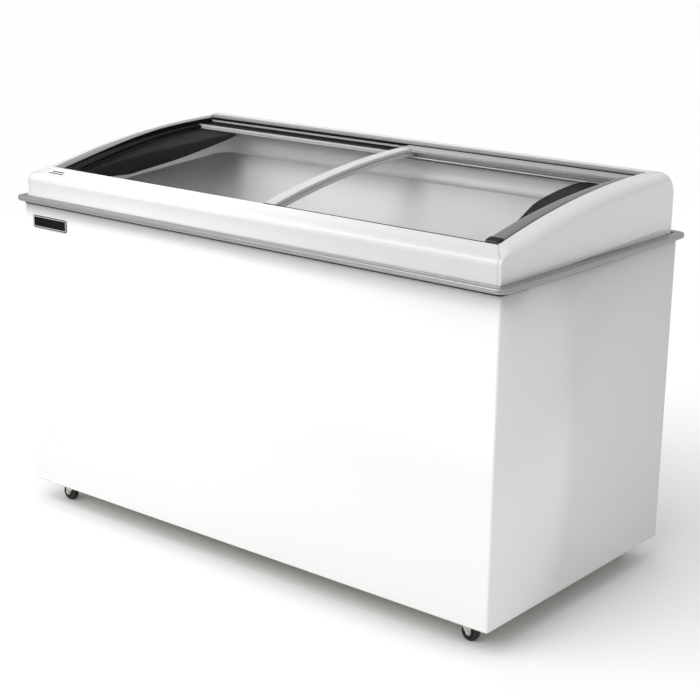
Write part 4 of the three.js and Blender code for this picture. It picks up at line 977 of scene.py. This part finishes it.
def lid_seal(x0, x1, y0, y1, drop):
    """The black strip behind the front part of the lower lid's rear rail, down to its track."""
    y = np.linspace(y0, y1 - 2 * MM, 8)
    top = np.stack([y, crown_height(y, drop + 0.3 * MM)], -1)
    rear = [[y1, crown_height(y1, drop + 2 * MM)], [y1, crown_height(y1, drop + LID_RAIL) - 2 * MM]]
    foot = [[y1 - 7 * MM, rear[1][1]], [y1 - 7 * MM, crown_height(y1 - 7 * MM, drop + LID_RAIL)]]
    front = [[y0, crown_height(y0, drop + LID_RAIL)]]
    return slab(np.vstack([top, rear, foot, front]), "x", x0, x1)


def lid_nose(x0, x1, y0, y1, drop):
    """The front part of the lower lid's rear rail: a flat strip with a round nose and a lip below it."""
    y = np.linspace(y0 + 2.5 * MM, y1, 5)
    top = np.stack([y, crown_height(y, drop)], -1)
    front = [
        [y0 - 0.6 * MM, crown_height(y0, drop + LID_RAIL + 0.4 * MM)],
        [y0 - 0.6 * MM, crown_height(y0, drop + LID_RAIL - 1.6 * MM)],
        [y0, crown_height(y0, drop + LID_RAIL - 2 * MM)],
        [y0, crown_height(y0, drop + 2.5 * MM)],
    ]
    foot = [[y1, crown_height(y1, drop + LID_RAIL + 0.4 * MM)]]
    return slab(np.vstack([front, top, foot]), "x", x0, x1)


def lid_rear_rail(x0, x1, y0, y1, drop):
    """The rail across the rear of a lid: flat, with a round nose, a groove and a lip down to its track."""
    y = np.linspace(y0 + 2.5 * MM, y1 - 2.5 * MM, 12)
    top = np.stack([y, crown_height(y, drop)], -1)
    mid = len(top) // 2
    groove = top[mid] + [(0, 0), (0.6 * MM, -0.8 * MM), (2.0 * MM, -0.8 * MM), (2.6 * MM, 0)]
    top = np.vstack([top[: mid - 1], groove, top[mid + 1 :]])
    front = [[y0, crown_height(y0, drop + LID_RAIL)], [y0, crown_height(y0, drop + 2.5 * MM)]]
    rear = [[y1, crown_height(y1, drop + 2.5 * MM)], [y1, crown_height(y1, drop + LID_RAIL) - 2 * MM]]
    foot = [[y1 - 7 * MM, rear[1][1]], [y1 - 7 * MM, crown_height(y1 - 7 * MM, drop + LID_RAIL)]]
    return slab(np.vstack([front, top, rear, foot]), "x", x0, x1)


def build_lid(side, drop):
    """One lid: its pane, centre bar, grip with pad, rear rail and front runner. The lower lid's
    rear rail is a grey nose, a black seal behind it, and a corner piece by the centre bar."""
    name = "right" if side > 0 else "left"
    body = f"{name}_lid"
    rail_low, rail_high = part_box(f"{name}_lid_rear_rail")
    runner_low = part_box(f"{name}_lid_front_runner")[0]
    outer = rail_high.x if side > 0 else rail_low.x
    inner = rail_low.x if side > 0 else rail_high.x
    front, rear = runner_low.y, rail_high.y
    rail_start = rear - LID_REAR_RAIL
    glass_top = drop + GLASS_DROP
    gap = LID_GAP
    bars_from = front + LID_RUNNER + gap
    x0, x1 = sorted((outer - side * 5 * MM, inner + side * 19 * MM))
    glass_foot = glass_top + GLASS_THICKNESS
    pane = crown_strip(front + 2 * MM, rail_start + GLASS_BITE, glass_top, glass_foot, x0, x1, 64)
    piece(f"{name}_pane", pane, GLASS, body, "lid_glass", [f"{name}_lid_glass"], edge=0.8 * MM)
    b0, b1 = sorted((inner, inner + side * LID_BAR))
    bar = lid_bar(b0, b1, bars_from, rail_start - gap, drop)
    piece(f"{name}_bar", bar, LIGHT_GREY, body, "grey_plastic", [f"{name}_lid_centre_bar"])
    # the lower lid slides under the upper one, so its grip and pad stay low
    crest, sink = (2.5 * MM, 0) if side > 0 else (1 * MM, 2.9 * MM)
    grip = lid_grip(side, outer, bars_from, rail_start - gap, drop, crest)
    grip_finish, grip_slot = (GRIP_GREY, "dark_plastic") if side > 0 else (BLACK, "black_plastic")
    piece(f"{name}_grip_ridge", grip, grip_finish, body, grip_slot, [f"{name}_lid_grip"])
    pad = grip_pad(side, outer, front + 9 * MM, drop, sink)
    piece(f"{name}_grip_pad", pad, RUBBER, body, "black_plastic")
    r0, r1 = sorted((outer, b0 if side > 0 else b0 - gap))
    stands_for = [f"{name}_lid_rear_rail"]
    if side > 0:
        rail = lid_rear_rail(r0, r1, rail_start, rear, drop)
        piece(f"{name}_rear_bar", rail, MID_GREY, body, "grey_plastic", stands_for, edge=0.6 * MM)
    else:
        seal_start = rear - LID_SEAL
        seal = lid_seal(r0, r1, seal_start, rear, drop)
        piece(f"{name}_rear_seal", seal, BLACK, body, "black_plastic", stands_for, edge=0.4 * MM)
        nose = lid_nose(r0, r1, rail_start, seal_start - gap, drop)
        piece(f"{name}_rear_nose", nose, MID_GREY, body, "grey_plastic", edge=0.5 * MM)
        corner = lid_rear_rail(b0, b1, rail_start, rear, drop)
        piece(f"{name}_rear_corner", corner, LIGHT_GREY, body, "grey_plastic", edge=0.6 * MM)
    runner_foot = drop + LID_RAIL + 3 * MM
    runner = crown_strip(
        front, front + LID_RUNNER, drop + 0.5 * MM, runner_foot, rail_low.x, rail_high.x, 6
    )
    stands_for = [f"{name}_lid_front_runner"]
    piece(f"{name}_runner", runner, BLACK, body, "black_plastic", stands_for, edge=0.8 * MM)


# ---------------------------------------------------------------- tracks
LEDGE = 2.4 * MM
LIDS_ABOVE = 3 * MM
UPPER_LEDGE = float(crown_height(226 * MM, UPPER_DROP + LID_RAIL)) - LIDS_ABOVE
LOWER_LEDGE = float(crown_height(212 * MM, LOWER_DROP + LID_RAIL)) - LIDS_ABOVE
UPPER_LEDGE_FRONT = 219 * MM
LOWER_LEDGE_FRONT = 205 * MM


def track_upper():
    """Upper part of the rear track: its web, and the ledge of the upper lid, ribbed along."""
    low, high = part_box("rear_track")
    front = UPPER_LEDGE_FRONT
    forms = [
        brick(low.x, high.x, high.y - 2 * MM, high.y, UPPER_LEDGE - LEDGE, high.z),
        brick(low.x, high.x, front, high.y, UPPER_LEDGE - LEDGE, UPPER_LEDGE),
    ]
    for i in range(3):
        y = front + (0.8 + 4 * i) * MM
        forms.append(brick(low.x, high.x, y, y + 1.4 * MM, UPPER_LEDGE, UPPER_LEDGE + 0.35 * MM))
    return joined(*forms)


def track_rib():
    """The grey rib along the foot of the rear track's web, just above the upper lid's ledge. Its mid grey
    against the black track is partly a painted highlight, the glint the rib catches.
    """
    low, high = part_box("rear_track")
    foot = UPPER_LEDGE + 0.8 * MM
    return brick(low.x, high.x, high.y - 3.4 * MM, high.y - 2.1 * MM, foot, foot + 4.6 * MM)


def track_lower():
    """Lower part of the rear track, white: a riser under the upper ledge, and the lower lid's ledge."""
    low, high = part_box("rear_track")
    front = UPPER_LEDGE_FRONT + 2 * MM
    riser = brick(low.x, high.x, front, front + 2 * MM, LOWER_LEDGE, UPPER_LEDGE - LEDGE)
    ledge = brick(low.x, high.x, LOWER_LEDGE_FRONT, high.y, LOWER_LEDGE - LEDGE, LOWER_LEDGE)
    return joined(riser, ledge)


# ---------------------------------------------------------------- castors
def castor(name):
    """One castor: a rounded plate with bolts, a turned race, a pressed fork, and a tyre with its hub."""
    plate_low, plate_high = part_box(f"{name}_castor_plate")
    wheel_low, wheel_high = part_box(f"{name}_castor_wheel")
    swivel = (plate_low + plate_high) / 2
    axle = (wheel_low + wheel_high) / 2
    outward = 1 if axle.x > swivel.x else -1
    radius = (wheel_high.z - wheel_low.z) / 2
    half = (wheel_high.y - wheel_low.y) / 2
    foot, top = plate_low.z, plate_high.z
    outline = rounded_outline(23 * MM, 23 * MM, 5 * MM) + (swivel.x, swivel.y)
    bolts = [
        turn([(0, foot - 1.6 * MM), (2.6 * MM, foot - 1.6 * MM), (3 * MM, foot), (0, foot)], "z",
             (swivel.x + dx * 17 * MM, swivel.y + dy * 17 * MM, 0), 6)
        for dx in (-1, 1)
        for dy in (-1, 1)
    ]
    plate = joined(slab(outline, "z", foot, top), *bolts)
    piece(f"{name}_plate", plate, ZINC, "cabinet", "zinc_steel", [f"{name}_castor_plate"], edge=0.4 * MM)
    gap = half + 0.6 * MM
    wall = 2.5 * MM
    crown_top = foot - 0.3 * MM
    race = turn(
        [(0, crown_top), (9 * MM, crown_top), (10.5 * MM, crown_top - 1 * MM),
         (9.5 * MM, crown_top - 2.4 * MM), (0, crown_top - 2.4 * MM)],
        "z", (swivel.x, swivel.y, 0), 36,
    )
    back = swivel.x - outward * 11 * MM
    front = axle.x + outward * 7 * MM
    crown_low = crown_top - wall
    legs = []
    for sign in (-1, 1):
        hub = arc((axle.x, axle.z), 6.5 * MM, 0, -180, 12)
        top_edge = sorted((back, front))
        outline = np.vstack([hub, [[top_edge[0], crown_low], [top_edge[0], crown_top - 0.4 * MM],
                                   [top_edge[1], crown_top - 0.4 * MM], [top_edge[1], crown_low]]])
        near, far = sorted((axle.y + sign * gap, axle.y + sign * (gap + wall)))
        legs.append(slab(outline, "y", near, far))
        profile = np.array([(0, 0), (4.6, 0), (4.6, sign * 1.6), (3.6, sign * 2.4), (0, sign * 2.4)])
        nut = turn(profile * MM, "y", (axle.x, axle.y + sign * (gap + wall), axle.z), 6)
        legs.append(nut)
    x0, x1 = sorted((back, front))
    outline = rounded_outline((x1 - x0) / 2, gap + wall, 4 * MM) + ((x0 + x1) / 2, axle.y)
    roof = slab(outline, "z", crown_low, crown_top - 0.3 * MM)
    fork = joined(race, roof, *legs)
    piece(f"{name}_fork", fork, ZINC, f"{name}_fork", "zinc_steel", [f"{name}_castor_fork"], edge=0.35 * MM)
    shoulder = arc((radius - 4 * MM, half - 4 * MM), 4 * MM, 90, 0, 7)
    tread = np.vstack([shoulder, (shoulder * (1, -1))[::-1]])
    hub_face = np.array([(3.3, -1), (7.5, -1), (8.5, -2.6), (11.5, -2.6), (12.5, 0)]) * MM + (0, half)
    profile = np.vstack([hub_face, tread, (hub_face * (1, -1))[::-1], hub_face[:1]])
    wheel = turn(profile, "y", axle, 56)
    piece(f"{name}_wheel", wheel, TYRE, f"{name}_wheel", "black_rubber", [f"{name}_castor_wheel"])


# ---------------------------------------------------------------- small fittings
def dial():
    """The thermostat dial: a round cap whose rim is waved into finger grips, radius r(1 + 0.05 cos 18a)."""
    low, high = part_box("thermostat_knob")
    centre = (low + high) / 2
    radius = (high.z - low.z) / 2
    angle = np.linspace(0, 2 * math.pi, 180, endpoint=False)
    wave = 1 - 0.05 * (0.5 + 0.5 * np.cos(18 * angle))
    rings = []
    rim = [(1, high.x), (1, low.x + 3 * MM), (0.93, low.x + 1 * MM), (0.84, low.x)]
    for share, x in [(0, high.x), *rim, (0, low.x)]:
        r = radius * share * (wave if share > 0.9 else 1.0)
        ring = [0 * angle + x, centre.y + r * np.cos(angle), centre.z + r * np.sin(angle)]
        rings.append(np.stack(ring, -1))
    return sheet(np.array(rings), closed=True)


def dial_mark():
    """The pointer line on the dial's face."""
    low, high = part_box("thermostat_knob")
    centre = (low + high) / 2
    outline = rounded_outline(0.7 * MM, 5 * MM, 0.6 * MM, 4) + (centre.y, centre.z + 8.5 * MM)
    return slab(outline, "x", low.x, low.x + 0.6 * MM)


def lock_slots():
    """Two short slots in the front sill, by the left corner, as black bars: the black is painted shade
    inside the slots.
    """
    forms = []
    for y, half in ((-291 * MM, 22 * MM), (-284 * MM, 18 * MM)):
        z = np.interp(y, OUTLINE[:FACE_END, 0], OUTLINE[:FACE_END, 1])
        outline = rounded_outline(half, 1.6 * MM, 1.5 * MM, 6) + (-560 * MM, y)
        forms.append(slab(outline, "z", z - 2 * MM, z + 0.5 * MM))
    return joined(*forms)


# ---------------------------------------------------------------- assembly
def build_cabinet():
    """The pieces that ride on the cabinet, and the thermostat's dial."""
    middle = (0, 0, 0.4)
    sheet_metal = {"slot": "white_sheet", "inside": middle, "wall": SHEET}
    piece("cabinet_shell", cabinet_shell(), ENAMEL, replaces=["outer_wrap"], **sheet_metal)
    piece("rear_sheet", rear_sheet(), ENAMEL, replaces=["rear_panel"], **sheet_metal)
    piece("rear_sheet_screws", rear_screws(), ZINC, slot="zinc_steel")
    white = {"slot": "white_plastic"}
    black = {"slot": "black_plastic"}
    piece("side_louvre", louvre("side_grille", "x", -1), WHITE, replaces=["side_grille"], **white)
    piece("rear_louvre", louvre("rear_grille", "y", 1), BLACK, replaces=["rear_grille"], **black)
    piece("bumper", bumper(), RAIL, slot="satin_aluminium", replaces=["bumper_rail"], sharp=30)
    # the skirt's black rubber is painted shadow under the rail
    piece("bumper_shadow_skirt", bumper_shadow_skirt(), RUBBER, **black)
    plate = badge_plate(0.3 * MM, 1.6 * MM)
    piece("badge_plate", plate, BLACK, replaces=["front_badge"], edge=0.4 * MM, **black)
    piece("badge_border", badge_border(), SILVER, **black)
    moulded_wall = {"wall": MOULDING, **white}
    for name, form, y in (("front_sill", front_sill(), -0.28), ("rear_sill", rear_sill(), 0.27)):
        core = (0, y, BODY_TOP)
        piece(f"{name}_moulding", form, WHITE, replaces=[name], inside=core, **moulded_wall)
    for side, name in ((-1, "left"), (1, "right")):
        core = (side * (OPENING_X + 20 * MM), 0, BODY_TOP)
        stands_for = [f"{name}_end_cap"]
        cap = end_cap(side)
        piece(f"{name}_cap_moulding", cap, WHITE, replaces=stands_for, inside=core, **moulded_wall)
        core = (side * (OPENING_X + 60 * MM), 0, BODY_TOP - 100 * MM)
        stands_for = [f"{name}_end_trim"]
        trim = {"replaces": stands_for, "inside": core, "wall": TRIM_WALL, "even": False, **black}
        piece(f"{name}_lens_trim", end_trim(side), BLACK, **trim)
    rim = {"replaces": ["tank_collar"], "inside": (0, 0, BODY_TOP), "wall": 2 * MM}
    piece("collar", collar(), COLLAR, hollow=True, **rim, **white)
    lining = {"replaces": ["tank_liner"], "wall": 1 * MM, "even": False}
    # the tank sheet's darker grey is painted shade
    piece("tank", tank(), SHADED_LINER, slot="liner_sheet", hollow=True, **lining)
    piece("rear_track_upper", track_upper(), BLACK, replaces=["rear_track"], **black)
    # the rib's lighter grey is partly a painted highlight on the track
    piece("rear_track_rib", track_rib(), MID_GREY, slot="grey_plastic", edge=0.4 * MM)
    piece("rear_track_lower", track_lower(), COLLAR, edge=0.3 * MM, **white)
    # the strip's dark grey partly paints the shade on the rear wall of the opening
    piece("rear_sill_strip", sill_strip(), SHADED_STRIP_GREY, slot="grey_plastic")
    # the slots' black is painted shade in their recesses
    piece("lock_slots", lock_slots(), BLACK, **black)
    piece("dial", dial(), BLACK, "thermostat_dial", "black_plastic", ["thermostat_knob"])
    piece("dial_mark", dial_mark(), PALE, "thermostat_dial", "pale_plastic")


def dress(nodes, finish):
    """Gives carried-over frame nodes their finish."""
    for name in nodes:
        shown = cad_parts[name]
        shown.data.materials.clear()
        shown.data.materials.append(finish)


build_cabinet()
build_lid(1, UPPER_DROP)
build_lid(-1, LOWER_DROP)
for corner_name in ("front_left", "front_right", "rear_left", "rear_right"):
    castor(corner_name)

dress(["base_pan"], ZINC)
dress([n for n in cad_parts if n.startswith("insulation")], FOAM)
dress(["front_track", "power_inlet", "fan_shroud", "fan_blades"], BLACK)
dress(["drain_tube", "thermostat_body", "compressor_terminal_box"], PALE)
dress(["drain_plug"], RUBBER)
dress(["compressor", "compressor_base", "fan_motor"], ENAMEL_BLACK)
dress(["condenser"], RAIL)
dress(
    ["filter_drier", "evaporator_tube", "discharge_line", "suction_line", "liquid_line", "capillary_tube"],
    COPPER,
)


# ---------------------------------------------------------------- floor, light and camera
def plain_floor():
    """A wide pale floor with the faintest unevenness."""
    shader = Shader("pale_floor")
    cloud = shader.noise(0.8, 2)
    colour = shader.blend(cloud, grey(0.95), grey(0.93))
    shader.set(Base_Color=colour, Roughness=0.85, Specular_IOR_Level=0.1)
    reach = 60.0
    corners = np.array([[(-reach, -reach, 0), (reach, -reach, 0)], [(-reach, reach, 0), (reach, reach, 0)]])
    points, faces = sheet(corners)
    mesh = bpy.data.meshes.new("floor")
    mesh.from_pydata(points.tolist(), [], faces)
    mesh.materials.append(shader.material)
    floor = bpy.data.objects.new("floor", mesh)
    bpy.context.scene.collection.objects.link(floor)


def lamp(kind, name, place, target, settings):
    """A lamp that faces a target."""
    light = bpy.data.lights.new(name, kind)
    for key, value in settings.items():
        setattr(light, key, value)
    made = bpy.data.objects.new(name, light)
    made.location = place
    made.rotation_euler = (Vector(target) - Vector(place)).to_track_quat("-Z", "Y").to_euler()
    bpy.context.scene.collection.objects.link(made)


def studio():
    """Even surroundings, a broad soft sun from the front left, a strip for highlights, and a small
    lamp that lights the inside of the tank."""
    world = bpy.data.worlds.new("studio")
    world.use_nodes = True
    world.node_tree.nodes["Background"].inputs["Color"].default_value = (1, 1, 1, 1)
    world.node_tree.nodes["Background"].inputs["Strength"].default_value = 0.72
    bpy.context.scene.world = world
    lamp("SUN", "sun", (-1.2, -2.8, 3.2), (0, 0, 0), {"energy": 1.5, "angle": math.radians(60)})
    strip = {"shape": "RECTANGLE", "size": 1.6, "size_y": 0.3, "energy": 8}
    lamp("AREA", "strip", (-0.6, -3.2, 2.2), (0, 0, 0.75), strip)
    inner = {"shape": "RECTANGLE", "size": 0.9, "size_y": 0.5, "energy": 2.0, "spread": math.radians(60)}
    lamp("AREA", "tank_fill", (0.05, -0.75, 1.75), (-0.32, 0.15, 0.72), inner)


def camera():
    """A long lens at the front right, a little above the lids."""
    lens = bpy.data.cameras.new("camera")
    lens.lens = 84.8
    lens.sensor_width = 36
    lens.clip_end = 200
    made = bpy.data.objects.new("camera", lens)
    forward = Vector((-0.60372, 0.74815, -0.27531)).normalized()
    right = forward.cross(Vector((0, 0, 1))).normalized()
    roll = math.radians(0.85)
    up = right.cross(forward)
    cosine, sine = math.cos(roll), math.sin(roll)
    right, up = right * cosine + up * sine, up * cosine - right * sine
    turn_matrix = Matrix((right, up, -forward)).transposed().to_4x4()
    place = (2.193, -2.668, 1.4005)
    made.matrix_world = Matrix.Translation(place) @ turn_matrix
    bpy.context.scene.collection.objects.link(made)
    bpy.context.scene.camera = made


plain_floor()
studio()
camera()
bpy.context.scene.view_settings.view_transform = "Standard"
